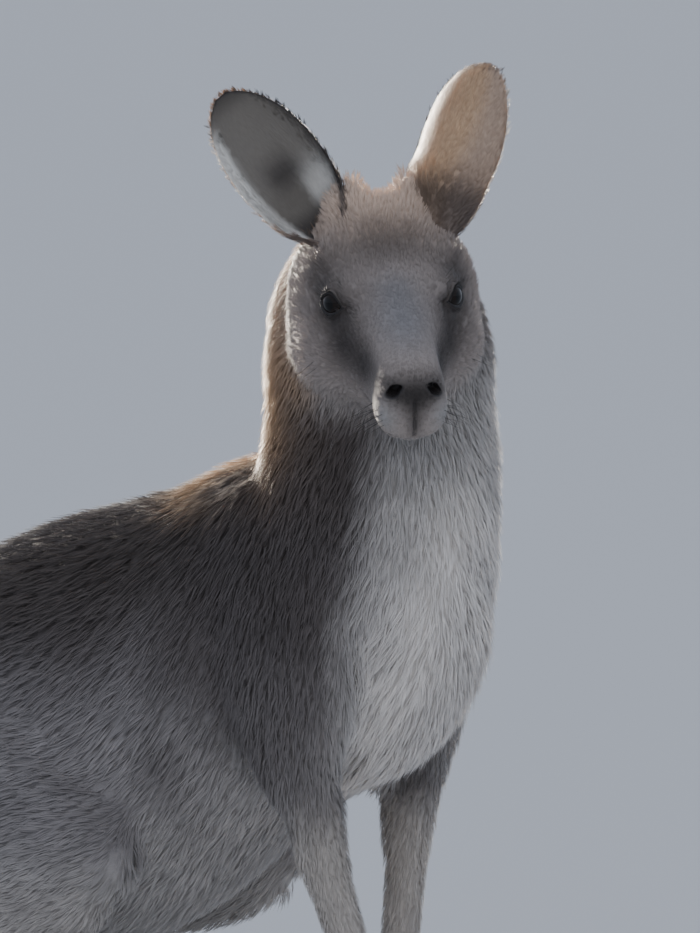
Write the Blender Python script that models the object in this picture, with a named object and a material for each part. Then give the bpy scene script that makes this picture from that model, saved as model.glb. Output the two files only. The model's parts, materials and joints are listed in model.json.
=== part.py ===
"""A life-size eastern grey kangaroo, crouched on all fours with its head raised and turned to its right.

Units are metres and +Z is up. The body faces -Y, its left side is +X, and the floor is z = 0.
Soft forms are lofted through a few stations each, fused into one body, and parted into named pieces
with thin cuts. Tables of stations are in millimetres.
"""

import math

import bmesh
import bpy
import numpy as np
from mathutils import Euler, Matrix, Vector

MM = 0.001
GAP = 0.55 * MM  # how far a cutter swells along its normals to leave about 0.3 mm between neighbours
FUSE_VOXEL = 3.6 * MM  # grid on which the soft forms fuse into one body
FUSE_SMOOTHING = 22  # passes that round the creases where forms meet
BODY_TRIANGLES = 2640

# The head turns about the point midway between the eyes.
HEAD_CENTRE = Vector((-41, -40, 536)) * MM
HEAD_YAW, HEAD_PITCH, HEAD_ROLL = (math.radians(a) for a in (-41, 18, -3))
HEAD = (
    Matrix.Translation(HEAD_CENTRE)
    @ Matrix.Rotation(HEAD_YAW, 4, "Z")
    @ Matrix.Rotation(HEAD_PITCH, 4, "X")
    @ Matrix.Rotation(HEAD_ROLL, 4, "Y")
)
EYE_RADIUS = 11.5
EYE_PLACE = (33.5, 0.0, 0.0)

LEFT, RIGHT = 1, -1
SIDES = {"left": LEFT, "right": RIGHT}


# ---------------------------------------------------------------- helpers


def smooth_rows(points, count):
    """count rows read from a smooth curve through the given rows."""
    rows = np.array(points, float)
    ends = np.vstack([2 * rows[0] - rows[1], rows, 2 * rows[-1] - rows[-2]])
    found = []
    for place in np.linspace(0, len(rows) - 1, count):
        i = min(int(place), len(rows) - 2)
        t = place - i
        a, b, c, d = ends[i : i + 4]
        bend = (2 * a - 5 * b + 4 * c - d) * t**2 + (3 * b - a - 3 * c + d) * t**3
        found.append(0.5 * (2 * b + (c - a) * t + bend))
    return np.array(found)


def scene_object(name, bm):
    """A scene object made from a bmesh, which is used up."""
    mesh = bpy.data.meshes.new(name)
    bm.to_mesh(mesh)
    bm.free()
    obj = bpy.data.objects.new(name, mesh)
    bpy.context.scene.collection.objects.link(obj)
    return obj


def section(centre, across, up, half_width, half_height, power, count):
    """Points round one section: an ellipse at power 2, squarer above it."""
    points = []
    for k in range(count):
        angle = 2 * math.pi * k / count
        c, s = math.cos(angle), math.sin(angle)
        x = math.copysign(abs(c) ** (2 / power), c) * half_width
        y = math.copysign(abs(s) ** (2 / power), s) * half_height
        points.append(centre + across * x + up * y)
    return points


def loft(stations, frame=None, power=2.0, rings=28, segments=24, upright=False):
    """A closed tube through stations of (x, y, z, half width, half height).

    The width lies along X. upright keeps each section square to Y, instead of to the tube's own line.
    """
    frame = frame or Matrix.Identity(4)
    rows = smooth_rows(stations, rings)
    tangents = np.gradient(rows[:, :3], axis=0)
    bm = bmesh.new()
    loops = []
    for row, tangent in zip(rows, tangents):
        along = Vector((0, 1, 0)) if upright else Vector(tangent).normalized()
        across = (Vector((1, 0, 0)) - along * along.x).normalized()
        half_width, half_height = max(row[3], 0.5), max(row[4], 0.5)
        ring = section(Vector(row[:3]), across, across.cross(along), half_width, half_height, power, segments)
        loops.append([bm.verts.new(frame @ (p * MM)) for p in ring])
    for first, second in zip(loops, loops[1:]):
        for k in range(segments):
            bm.faces.new((first[k], first[k - 1], second[k - 1], second[k]))
    bm.faces.new(loops[0])
    bm.faces.new(loops[-1])
    bmesh.ops.recalc_face_normals(bm, faces=bm.faces)
    return bm


def profile_loft(profile, **options):
    """A loft from rows of (y, bottom, top, half width), whose sections stay upright."""
    stations = [(0, y, (low + top) / 2, half, (top - low) / 2) for y, low, top, half in profile]
    return loft(stations, upright=True, **options)


def ellipsoid(centre, radii, turn=(0, 0, 0), frame=None, detail=3):
    """An ellipsoid turned by Euler angles in degrees."""
    frame = frame or Matrix.Identity(4)
    spin = Euler([math.radians(a) for a in turn])
    place = Matrix.LocRotScale(Vector(centre) * MM, spin, Vector(radii) * MM)
    bm = bmesh.new()
    bmesh.ops.create_icosphere(bm, subdivisions=detail, radius=1.0, matrix=frame @ place)
    return bm


def slab(low, high, turn=0.0, pivot=(0, 0, 0), frame=None):
    """A box between two corners, tipped about the X axis through pivot by turn degrees."""
    frame = frame or Matrix.Identity(4)
    low, high = Vector(low) * MM, Vector(high) * MM
    tip = Matrix.Translation(Vector(pivot) * MM) @ Matrix.Rotation(math.radians(turn), 4, "X")
    tip = tip @ Matrix.Translation(-Vector(pivot) * MM)
    bm = bmesh.new()
    place = Matrix.Translation((low + high) / 2) @ Matrix.Diagonal((*(high - low), 1))
    bmesh.ops.create_cube(bm, size=1.0, matrix=frame @ tip @ place)
    return bm


def mirrored(stations):
    """The same stations on the other side of the body."""
    return [(-row[0], *row[1:]) for row in stations]


def on_side(stations, side):
    return stations if side == LEFT else mirrored(stations)


def evaluated_mesh(obj):
    return bpy.data.meshes.new_from_object(obj.evaluated_get(bpy.context.evaluated_depsgraph_get()))


def apply_modifiers(obj):
    """Keeps what the modifiers made as the object's own mesh."""
    mesh = evaluated_mesh(obj)
    obj.modifiers.clear()
    obj.data = mesh
    return obj


def boolean(obj, other, operation):
    step = obj.modifiers.new(operation.lower(), "BOOLEAN")
    step.operation, step.solver, step.object = operation, "MANIFOLD", other
    return apply_modifiers(obj)


def copy_of(obj, name):
    twin = bpy.data.objects.new(name, obj.data.copy())
    bpy.context.scene.collection.objects.link(twin)
    return twin


def swollen(obj, by):
    """The object grown outwards by the given distance in metres."""
    step = obj.modifiers.new("swell", "DISPLACE")
    step.strength, step.mid_level = by, 0.0
    return apply_modifiers(obj)


def remove(*objects):
    for obj in objects:
        bpy.data.objects.remove(obj)


# ---------------------------------------------------------------- the body's soft forms

# (y, bottom, top, half width): chest, ribs, belly and rump, from front to back
TRUNK = [
    (-72, 304, 352, 24),
    (-52, 260, 388, 50),
    (-20, 226, 414, 66),
    (20, 208, 434, 78),
    (70, 182, 440, 88),
    (110, 153, 428, 97),
    (150, 124, 411, 105),
    (200, 98, 396, 113),
    (260, 83, 381, 117),
    (320, 81, 358, 118),
    (370, 86, 333, 112),
    (410, 90, 303, 99),
    (445, 94, 264, 82),
    (475, 99, 216, 64),
    (500, 112, 168, 44),
]
# (u, w, z, half breadth, half depth): the neck, from inside the chest up to the back of the skull.
# It turns with the head, so u runs across it and w from throat to nape.
NECK_TURN = math.radians(-50)
NECK = [
    (-17, 14, 318, 88, 84),
    (-9, 8, 366, 86, 82),
    (-4, 9, 410, 82, 74),
    (-3, 13, 452, 79, 64),
    (-4, 16, 492, 78, 56),
    (-8, 18, 526, 71, 49),
    (-13, 19, 550, 64, 42),
    (-19, 20, 568, 53, 35),
    (-24, 21, 580, 35, 25),
    (-26, 21, 586, 15, 13),
]
# (y, bottom, top, half width) in the head's own frame, nose to nape
SKULL = [
    (-96, -46, -20, 10),
    (-93, -60, -15, 17.5),
    (-85, -67, -10, 22.5),
    (-72, -68, -4, 23.5),
    (-56, -68, 2, 24),
    (-40, -69, 8, 28),
    (-22, -71, 14, 36),
    (-5, -75, 21, 46),
    (12, -79, 29, 56),
    (28, -80, 37, 63),
    (44, -74, 43, 64),
    (60, -60, 42, 58),
    (74, -42, 33, 46),
    (86, -22, 22, 28),
]
# swellings on each side of the skull: (centre, radii) in the head's frame
SWELLINGS = {
    "cheek": ((34, 28, -41), (32, 48, 39)),
    "jaw": ((16, -2, -45), (21, 42, 24)),
    "brow": ((26, 5, 6), (16, 27, 14)),
    "crown": ((11, 46, 34), (27, 28, 23)),
    "ear root": ((26, 51, 36), (15, 15, 28)),
    "ear foot": ((37, 27, 20), (13, 13, 16)),
    "ear brush": ((17, 52, 44), (12, 13, 26)),
}

# (x, y, z, half width, half depth) for the left side: shoulder blade to elbow.
# STRIDE sets the right elbow ahead of the left one.
SHOULDER = [
    (40, 84, 404, 24, 36),
    (55, 60, 366, 31, 54),
    (65, 38, 320, 31, 63),
    (69, 30, 272, 27, 55),
    (71, 26, 232, 22, 40),
    (69, 21, 204, 17, 27),
    (68, 20, 188, 10, 15),
]
STRIDE = 14
# each foreleg, from the elbow to the palm; the right paw is set down a little ahead of the left
FORELEGS = {
    LEFT: [
        (67, 34, 214, 22, 27),
        (64, 35, 184, 20, 23),
        (57, 31, 150, 16, 18),
        (50, 29, 110, 14.5, 15.5),
        (41, 28, 74, 12.5, 13),
        (35, 27, 42, 13, 13),
        (34, 18, 20, 15, 13),
        (34, 5, 11, 16.5, 12.5),
        (34, -8, 8, 15, 9.5),
    ],
    RIGHT: [
        (-67, 5, 214, 21, 27),
        (-64, 2, 182, 19, 23),
        (-55, -4, 146, 16, 18),
        (-47, -12, 110, 14.5, 15.5),
        (-38, -19, 74, 12.5, 13),
        (-32, -27, 42, 13, 13),
        (-31, -37, 20, 15, 13),
        (-31, -50, 11, 16.5, 12.5),
        (-31, -63, 8, 15, 9.5),
    ],
}
PALM_FRONT = {LEFT: (34, -10, 7), RIGHT: (-31, -65, 7)}
FINGER_ANGLES = (-48, -24, 0, 24, 48)
FINGER_LENGTH, FINGER_RADIUS = 30.0, 5.4

THIGH = [
    (58, 452, 178, 36, 54),
    (74, 400, 200, 53, 92),
    (83, 336, 205, 57, 104),
    (88, 272, 198, 52, 93),
    (91, 214, 184, 43, 73),
    (93, 172, 172, 34, 52),
    (93, 144, 164, 21, 31),
    (93, 134, 162, 9, 13),
]
SHANK = [
    (93, 172, 158, 28, 40),
    (93, 218, 141, 31, 46),
    (94, 270, 121, 28, 38),
    (95, 330, 99, 21, 26),
    (96, 387, 79, 17, 19),
    (96, 432, 62, 16, 17),
    (96, 466, 46, 17, 20),
    (96, 484, 34, 13, 16),
]
FOOT = [
    (96, 496, 22, 10, 12),
    (96, 482, 25, 17.5, 27),
    (96, 450, 27, 19, 29),
    (97, 400, 22, 18.5, 24),
    (98, 340, 19, 19.5, 21),
    (99, 290, 17, 22, 19),
    (100, 258, 14, 21, 16),
    (101, 240, 12, 15, 12),
]
# toes of the left foot, each from its root to its end
TOES = {
    "long_toe": [(100, 268, 15, 12, 16), (102, 236, 14, 12, 15), (104, 208, 12, 9.5, 12.5), (105, 198, 11, 5, 7)],
    "outer_toe": [(113, 290, 12, 9, 13), (118, 256, 11, 8.5, 12), (121, 238, 10, 6.5, 10), (122, 230, 9, 4, 6)],
    "inner_toe": [(86, 290, 12, 7.5, 13), (84, 262, 11, 7, 12), (83, 246, 10, 5.5, 9), (83, 240, 9, 3, 5)],
}
TAIL = [
    (0, 415, 178, 50, 58),
    (0, 472, 150, 54, 60),
    (0, 535, 108, 48, 51),
    (0, 605, 70, 41, 43),
    (2, 690, 42, 35, 37),
    (8, 790, 30.5, 30, 32.5),
    (20, 890, 24.5, 26, 27),
    (36, 990, 21.5, 22.5, 24),
    (48, 1090, 18.5, 19, 21),
    (50, 1180, 15.5, 16, 18),
    (42, 1250, 11.5, 11, 13.5),
    (36, 1284, 7.5, 7, 8.5),
    (35, 1292, 6, 3, 4),
]

# Each ear is a curled leaf: base in the head's frame, then its axis and the way it opens, in the body's frame.
EARS = {
    RIGHT: {"base": (-34, 42, 33), "axis": (-0.357, 0.526, 0.772), "opens": (-0.763, -0.64, 0.087)},
    LEFT: {"base": (37, 43, 35), "axis": (0.45, 0.03, 0.89), "opens": (0.98, 0.18, -0.07)},
}
EAR_LENGTH = 112.0
EAR_WALL = 3.4
# (share of the length, half width, half angle of the curl in degrees, lean of the axis away from the opening)
EAR_ROWS = [
    (-0.20, 9, 165, 2),
    (-0.08, 13, 150, 2),
    (0.03, 18.5, 128, 1),
    (0.14, 24.5, 104, 0),
    (0.27, 29, 84, 3),
    (0.42, 31, 70, 7),
    (0.58, 30.5, 60, 9),
    (0.74, 27, 52, 9),
    (0.87, 20.5, 46, 8),
    (0.95, 13, 40, 7),
    (1.0, 5, 34, 6),
]


def fuse(forms):
    """One smooth body from overlapping closed forms. Paws and toes are smoothed least."""
    whole = bmesh.new()
    for form in forms:
        mesh = bpy.data.meshes.new("form")
        form.to_mesh(mesh)
        form.free()
        whole.from_mesh(mesh)
        bpy.data.meshes.remove(mesh)
    body = scene_object("body", whole)
    remesh = body.modifiers.new("fuse", "REMESH")
    remesh.mode, remesh.voxel_size = "VOXEL", FUSE_VOXEL
    apply_modifiers(body)
    group = body.vertex_groups.new(name="soft")
    for vertex in body.data.vertices:
        low = vertex.co.z / MM
        paw = low < 62 and vertex.co.y < 0.09 or low < 34 and abs(vertex.co.x) > 0.07
        group.add([vertex.index], 0.06 if paw else 1.0, "REPLACE")
    soften = body.modifiers.new("soften", "SMOOTH")
    soften.factor, soften.iterations, soften.vertex_group = 0.5, FUSE_SMOOTHING, "soft"
    return apply_modifiers(body)


def thin_out(body, triangles):
    """Fewer triangles, most of them kept on the face, the forelegs and the feet."""
    group = body.vertex_groups.new(name="plain")
    to_head = HEAD.inverted()
    for vertex in body.data.vertices:
        x, y, z = vertex.co / MM
        back, height = (to_head @ vertex.co).yz / MM
        face = 0.8 if back < -30 else 0.9 if back < 50 and height > -84 else 1.0
        face = face if z > 430 else 1.0
        foreleg = 0.88 if y < 60 and z < 50 else 0.96 if y < 60 and z < 190 else 1.0
        foot = 0.94 if z < 52 and abs(x) > 70 and y > 100 else 1.0
        group.add([vertex.index], min(face, foreleg, foot), "REPLACE")
    step = body.modifiers.new("thin", "DECIMATE")
    step.ratio = triangles / (2 * len(body.data.polygons))
    step.vertex_group, step.vertex_group_factor = "plain", 1.0
    return apply_modifiers(body)


def shoulder(side):
    """The upper arm's stations, swung forwards or back by the stride towards the elbow."""
    return [(side * x, y + side * STRIDE * (404 - z) / 200, z, w, d) for x, y, z, w, d in SHOULDER]


def fingers(side):
    """Five fingers fanned out from the front of the palm, as (root, tip) pairs."""
    palm = Vector(PALM_FRONT[side])
    found = []
    for angle in FINGER_ANGLES:
        turn = math.radians(side * angle)
        way = Vector((math.sin(turn), -math.cos(turn), -0.12))
        reach = FINGER_LENGTH * (1 - 0.0035 * abs(angle))
        across = Vector((side * angle * 0.2, 0.10 * abs(angle), 0))
        found.append((palm + across, palm + across + way * reach))
    return found


def finger_form(root, tip):
    rows = [(*root.lerp(tip, t), FINGER_RADIUS * r, FINGER_RADIUS * r) for t, r in ((-0.4, 1), (0.45, 0.96), (0.9, 0.8), (1, 0.4))]
    return loft(rows, rings=8, segments=10)


def body_forms():
    forms = [
        profile_loft(TRUNK, power=2.15, rings=40, segments=32),
        loft(NECK, frame=Matrix.Rotation(NECK_TURN, 4, "Z")),
        profile_loft(SKULL, frame=HEAD, power=2.25, rings=40),
        loft(TAIL, rings=48),
    ]
    for side in SIDES.values():
        forms += [
            loft(shoulder(side)),
            loft(FORELEGS[side]),
            loft(on_side(THIGH, side)),
            loft(on_side(SHANK, side)),
            loft(on_side(FOOT, side)),
        ]
        forms += [ellipsoid((side * x, y, z), radii, frame=HEAD) for (x, y, z), radii in SWELLINGS.values()]
        forms += [finger_form(root, tip) for root, tip in fingers(side)]
        forms += [loft(on_side(toe, side), rings=14, segments=14) for toe in TOES.values()]
    return forms


# ---------------------------------------------------------------- ears, eyes and claws


def ear(side):
    """A curled leaf of even wall: the outer face, the inner face, and a rim that joins them."""
    axis = Vector(EARS[side]["axis"]).normalized()
    opens = Vector(EARS[side]["opens"])
    opens = (opens - axis * opens.dot(axis)).normalized()
    across = axis.cross(opens)
    base = HEAD @ (Vector(EARS[side]["base"]) * MM)
    rows = smooth_rows(EAR_ROWS, 12)
    steps = 8
    bm = bmesh.new()
    skins = {}
    for skin in ("outer", "inner"):
        skins[skin] = []
        for share, half, curl, lean in rows:
            curl = math.radians(curl)
            radius = half / math.sin(min(curl, math.pi / 2))
            wall = EAR_WALL * (1 - 0.45 * max(share, 0))
            depth = radius * math.cos(min(curl, math.pi / 2))
            line = []
            for k in range(steps + 1):
                angle = curl * (2 * k / steps - 1)
                taper = 1 - 0.5 * abs(2 * k / steps - 1) ** 4
                r = radius - (wall * taper if skin == "inner" else 0)
                place = across * (r * math.sin(angle)) - opens * (r * math.cos(angle) - depth * 0.55 - lean)
                line.append(bm.verts.new(base + (axis * share * EAR_LENGTH + place) * MM))
            skins[skin].append(line)
    for skin in skins.values():
        for a, b in zip(skin, skin[1:]):
            for k in range(steps):
                bm.faces.new((a[k], a[k + 1], b[k + 1], b[k]))
    outer, inner = skins["outer"], skins["inner"]
    for k in (0, steps):
        for a, b, c, d in zip(outer, outer[1:], inner[1:], inner):
            bm.faces.new((a[k], b[k], c[k], d[k]))
    for end in (0, -1):
        for k in range(steps):
            bm.faces.new((outer[end][k], outer[end][k + 1], inner[end][k + 1], inner[end][k]))
    bmesh.ops.recalc_face_normals(bm, faces=bm.faces)
    bmesh.ops.triangulate(bm, faces=bm.faces)
    return bm


def eyeball(place, radius):
    bm = bmesh.new()
    bmesh.ops.create_uvsphere(bm, u_segments=14, v_segments=9, radius=radius * MM)
    spin = Matrix.Rotation(math.pi / 2, 4, "Y")
    bmesh.ops.transform(bm, matrix=HEAD @ Matrix.Translation(Vector(place) * MM) @ spin, verts=bm.verts)
    return bm


def claw_form(root, tip, radius, drop):
    """A curved cone from inside the toe's end to its tip; drop is how far it bows upwards."""
    root, tip = Vector(root), Vector(tip)
    rows = []
    for t, share in ((-0.35, 1.0), (0.0, 1.0), (0.35, 0.84), (0.7, 0.5), (1.0, 0.1)):
        place = root.lerp(tip, t) + Vector((0, 0, drop * 4 * t * (1 - t) if t > 0 else 0))
        rows.append((*place, radius * share, radius * share * 1.1))
    return loft(rows, rings=6, segments=5)


def fore_claws(side):
    """(finger number, claw form) from the inner finger outwards."""
    found = []
    for number, (root, tip) in enumerate(fingers(side), 1):
        way = (tip - root).normalized()
        end = tip + Vector((way.x * 13, way.y * 13, 2.2 - tip.z))
        found.append((number, claw_form(tip - way * 1.5, end, 2.6, 1.6)))
    return found


HIND_CLAWS = {
    "long_toe": ((105, 200, 12), (106, 166, 3.6), 5.2, 2.0),
    "outer_toe": ((121.5, 233, 10), (123, 212, 3.0), 3.6, 1.4),
    "inner_toe_a": ((80.5, 243, 9.5), (79, 227, 3.0), 2.0, 1.0),
    "inner_toe_b": ((85, 243, 9.5), (84.6, 227, 3.0), 2.0, 1.0),
}


# ---------------------------------------------------------------- parting the body into pieces


def part_off(body, name, cutter):
    """Peels one named piece off the body: whatever lies inside the closed cutter, less a thin gap."""
    inside = scene_object("inside", cutter)
    piece = boolean(copy_of(body, name), inside, "INTERSECT")
    boolean(body, swollen(inside, GAP), "DIFFERENCE")
    remove(inside)
    return piece


def box_cutter(low, high, side=LEFT, **options):
    """A box between two corners; side mirrors it in X."""
    xs = sorted((side * low[0], side * high[0]))
    return slab((xs[0], *low[1:]), (xs[1], *high[1:]), **options)


def limb_cutter(stations, slack):
    """The convex hull of a limb's own form, made a little larger than it."""
    form = loft([(x, y, z, w + slack, d + slack) for x, y, z, w, d in stations], rings=7, segments=8)
    hull = bmesh.new()
    points = [hull.verts.new(vert.co) for vert in form.verts]
    form.free()
    made = bmesh.ops.convex_hull(hull, input=points)
    bmesh.ops.delete(hull, geom=made["geom_interior"], context="VERTS")
    bmesh.ops.recalc_face_normals(hull, faces=hull.faces)
    return hull


def keep_largest(obj):
    """Drops the crumbs that a cut leaves beside the main piece, even those that touch it at a point."""
    bm = bmesh.new()
    bm.from_mesh(obj.data)
    left, best = set(bm.faces), set()
    while left:
        queue, found = [left.pop()], set()
        while queue:
            face = queue.pop()
            found.add(face)
            near = {other for edge in face.edges if len(edge.link_faces) == 2 for other in edge.link_faces} & left
            left -= near
            queue += near
        best = max(best, found, key=len)
    bmesh.ops.delete(bm, geom=[face for face in bm.faces if face not in best], context="FACES")
    bm.to_mesh(obj.data)
    bm.free()
    return obj


def build_body():
    """All the pieces of the animal, as {name: object}."""
    body = thin_out(fuse(body_forms()), BODY_TRIANGLES)
    floor = scene_object("floor", slab((-600, -600, -200), (600, 2000, 0)))
    boolean(body, floor, "DIFFERENCE")
    remove(floor)
    grown = swollen(copy_of(body, "grown"), GAP)
    pieces = {}
    for word, side in SIDES.items():
        shell = scene_object(f"ear_{word}", ear(side))
        pieces[f"ear_{word}"] = keep_largest(boolean(shell, grown, "DIFFERENCE"))
        place = (side * EYE_PLACE[0], *EYE_PLACE[1:])
        socket = scene_object("socket", eyeball(place, EYE_RADIUS + GAP / MM))
        boolean(body, socket, "DIFFERENCE")
        remove(socket)
        pieces[f"eye_{word}"] = scene_object(f"eye_{word}", eyeball(place, EYE_RADIUS))
    remove(grown)

    head = part_off(body, "head", box_cutter((-110, -140, -84), (110, 50, 90), frame=HEAD))
    pieces["lower_jaw"] = part_off(head, "lower_jaw", box_cutter((-60, -140, -90), (60, -26, -51), turn=-3, frame=HEAD))
    pieces["muzzle"] = part_off(head, "muzzle", box_cutter((-60, -140, -90), (60, -36, 40), frame=HEAD))
    pieces["head"] = head
    for word, side in SIDES.items():
        pieces[f"hind_foot_{word}"] = part_off(body, f"hind_foot_{word}", box_cutter((66, 150, -20), (150, 520, 50), side))
        pieces[f"thigh_{word}"] = part_off(body, f"thigh_{word}", limb_cutter(on_side(THIGH, side), 5))
        pieces[f"shank_{word}"] = part_off(body, f"shank_{word}", limb_cutter(on_side(SHANK, side), 4))
        pieces[f"forepaw_{word}"] = part_off(body, f"forepaw_{word}", box_cutter((8, -150, -20), (120, 80, 44), side))
        pieces[f"forearm_{word}"] = part_off(body, f"forearm_{word}", box_cutter((8, -150, 40), (130, 60, 186), side))
        arm = shoulder(side)[:-1] + [(side * 67, 20 - side * 2, 184, 19, 30), (side * 66, 20 - side * 2, 160, 19, 30)]
        pieces[f"upper_arm_{word}"] = part_off(body, f"upper_arm_{word}", limb_cutter(arm, 5))
    for name, start in (("tail_tip", 1090), ("tail_end", 900), ("tail_middle", 690)):
        pieces[name] = part_off(body, name, box_cutter((-300, start, -50), (300, 1500, 400)))
    pieces["tail_base"] = part_off(body, "tail_base", box_cutter((-300, 500, -200), (300, 900, 500), turn=-28, pivot=(0, 500, 120)))
    pieces["neck"] = part_off(body, "neck", box_cutter((-300, -300, 396), (300, 300, 800), turn=25, pivot=(0, 0, 396)))
    pieces["chest"] = part_off(body, "chest", box_cutter((-300, -300, 0), (300, 128, 800)))
    pieces["abdomen"] = part_off(body, "abdomen", box_cutter((-300, 100, 0), (300, 345, 800)))
    body.name = "rump"
    pieces["rump"] = body
    return {name: keep_largest(piece) for name, piece in pieces.items()}


def build_claws(pieces):
    """Claws, each cut back to the skin of its own paw."""
    for word, side in SIDES.items():
        forms = [("forepaw", f"fore_claw_{n}", form) for n, form in fore_claws(side)]
        for name, (root, tip, radius, bow) in HIND_CLAWS.items():
            ends = [(side * x, y, z) for x, y, z in (root, tip)]
            forms.append(("hind_foot", f"hind_claw_{name}", claw_form(*ends, radius, bow)))
        for paw, claw, form in forms:
            grown = swollen(copy_of(pieces[f"{paw}_{word}"], "grown"), GAP)
            name = f"{claw}_{word}"
            pieces[name] = keep_largest(boolean(scene_object(name, form), grown, "DIFFERENCE"))
            remove(grown)


# ---------------------------------------------------------------- materials and the finished model


def material(name, colour, roughness, **inputs):
    found = bpy.data.materials.new(name)
    found.use_nodes = True
    shader = found.node_tree.nodes["Principled BSDF"]
    shader.inputs["Base Color"].default_value = (*colour, 1.0)
    shader.inputs["Roughness"].default_value = roughness
    for key, value in inputs.items():
        shader.inputs[key.replace("_", " ").title()].default_value = value
    return found


COATS = {
    "head": (0.20, 0.165, 0.135),
    "muzzle": (0.23, 0.205, 0.185),
    "lower_jaw": (0.42, 0.38, 0.34),
    "ear": (0.17, 0.135, 0.105),
    "neck": (0.25, 0.215, 0.18),
    "chest": (0.30, 0.265, 0.23),
    "abdomen": (0.19, 0.155, 0.125),
    "rump": (0.17, 0.14, 0.115),
    "upper_arm": (0.23, 0.195, 0.165),
    "forearm": (0.26, 0.225, 0.195),
    "forepaw": (0.055, 0.045, 0.04),
    "thigh": (0.21, 0.175, 0.145),
    "shank": (0.25, 0.215, 0.18),
    "hind_foot": (0.10, 0.085, 0.07),
    "tail": (0.15, 0.125, 0.10),
}


def paint(pieces):
    """Every piece has a material of its own, named after it."""
    for name, piece in pieces.items():
        if name.startswith("eye"):
            look = material(name, (0.012, 0.008, 0.006), 0.08, coat_weight=1.0)
        elif "claw" in name:
            look = material(name, (0.018, 0.016, 0.015), 0.35)
        else:
            coat = next(colour for key, colour in COATS.items() if name.startswith(key))
            look = material(name, coat, 0.92)
        piece.data.materials.clear()
        piece.data.materials.append(look)
        piece.data.shade_smooth()
        piece.data.set_sharp_from_angle(angle=math.radians(50))


def centre_model(pieces):
    """Moves the model so that the origin is at the middle of its outline, on the floor."""
    corners = np.array([vertex.co for piece in pieces.values() for vertex in piece.data.vertices])
    middle = (corners.min(axis=0) + corners.max(axis=0)) / 2
    shift = Matrix.Translation((-middle[0], -middle[1], 0.0))
    for piece in pieces.values():
        piece.data.transform(shift)


def main():
    for obj in list(bpy.data.objects):
        bpy.data.objects.remove(obj)
    pieces = build_body()
    build_claws(pieces)
    paint(pieces)
    centre_model(pieces)


main()
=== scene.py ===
# %% [markdown]
# # A life-size eastern grey kangaroo
#
# The animal crouches on all fours with its head up, as a still museum model. The frame that this
# script loads already holds plain solids of the right outline. Here they get what makes them look
# alive: one skin without seams, a face with lids and lips, wet eyes, horn claws and a coat of hair.
# Everything is made from named sizes, so a reader can change one number and see what it does.

import json
import math

import bmesh
import bpy
import numpy as np
from mathutils import Matrix, Vector

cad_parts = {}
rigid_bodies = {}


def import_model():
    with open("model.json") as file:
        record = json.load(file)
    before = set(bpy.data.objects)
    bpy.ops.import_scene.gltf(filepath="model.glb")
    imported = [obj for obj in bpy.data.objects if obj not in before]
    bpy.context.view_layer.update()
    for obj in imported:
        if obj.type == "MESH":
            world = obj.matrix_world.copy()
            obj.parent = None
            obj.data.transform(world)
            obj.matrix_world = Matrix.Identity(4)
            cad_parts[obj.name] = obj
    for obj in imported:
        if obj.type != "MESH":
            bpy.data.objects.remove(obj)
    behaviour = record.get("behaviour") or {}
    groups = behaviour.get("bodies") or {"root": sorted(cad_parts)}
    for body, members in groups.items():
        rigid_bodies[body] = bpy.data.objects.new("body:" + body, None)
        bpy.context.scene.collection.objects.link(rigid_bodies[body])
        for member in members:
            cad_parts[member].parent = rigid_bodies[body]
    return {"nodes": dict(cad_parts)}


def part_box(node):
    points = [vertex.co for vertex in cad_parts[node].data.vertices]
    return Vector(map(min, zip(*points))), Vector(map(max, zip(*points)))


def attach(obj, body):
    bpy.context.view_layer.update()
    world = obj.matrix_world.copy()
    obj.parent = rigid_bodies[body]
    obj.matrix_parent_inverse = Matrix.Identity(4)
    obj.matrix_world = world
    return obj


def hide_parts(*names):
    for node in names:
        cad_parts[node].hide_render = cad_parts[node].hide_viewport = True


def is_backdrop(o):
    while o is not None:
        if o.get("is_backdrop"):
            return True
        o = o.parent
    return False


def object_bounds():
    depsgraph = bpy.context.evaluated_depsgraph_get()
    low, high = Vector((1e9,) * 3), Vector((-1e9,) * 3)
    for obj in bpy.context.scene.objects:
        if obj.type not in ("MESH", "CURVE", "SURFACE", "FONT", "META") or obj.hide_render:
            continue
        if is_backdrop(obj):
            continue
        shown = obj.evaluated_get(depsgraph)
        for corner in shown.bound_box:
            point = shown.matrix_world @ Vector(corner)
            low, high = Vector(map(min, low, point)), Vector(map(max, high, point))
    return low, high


for leftover in list(bpy.data.objects):
    bpy.data.objects.remove(leftover)
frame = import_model()
CAD_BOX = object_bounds()
print("solids", len(frame["nodes"]), "box", [[round(v, 3) for v in corner] for corner in CAD_BOX])

# %% [markdown]
# ## One set of axes
#
# The tables below are in millimetres, with the nose towards -Y and the floor at z = 0, measured from
# a point under the shoulders. The frame puts its origin under the middle of the whole animal
# instead. The eyes are the best landmark that both share, so the step between the two comes from them.

# %% Where the tables lie in the frame
MM = 0.001
HEAD_CENTRE = np.array([-41.0, -40.0, 536.0])
HEAD_YAW, HEAD_PITCH, HEAD_ROLL = (math.radians(angle) for angle in (-41, 18, -3))
HEAD_TURN = np.array(
    Matrix.Rotation(HEAD_YAW, 3, "Z")
    @ Matrix.Rotation(HEAD_PITCH, 3, "X")
    @ Matrix.Rotation(HEAD_ROLL, 3, "Y")
)
EYE_BOXES = [np.array(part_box(name)) for name in ("eye_left", "eye_right")]
EYE_MIDDLE = np.mean([box.mean(axis=0) for box in EYE_BOXES], axis=0)
SHIFT = EYE_MIDDLE - HEAD_CENTRE * MM
SHIFT[2] = 0.0
LEFT, RIGHT = 1, -1
SIDES = {"left": LEFT, "right": RIGHT}
FLIP = {side: np.array([side, 1, 1]) for side in SIDES.values()}
print("tables are moved by", SHIFT.round(4), "m")


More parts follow.
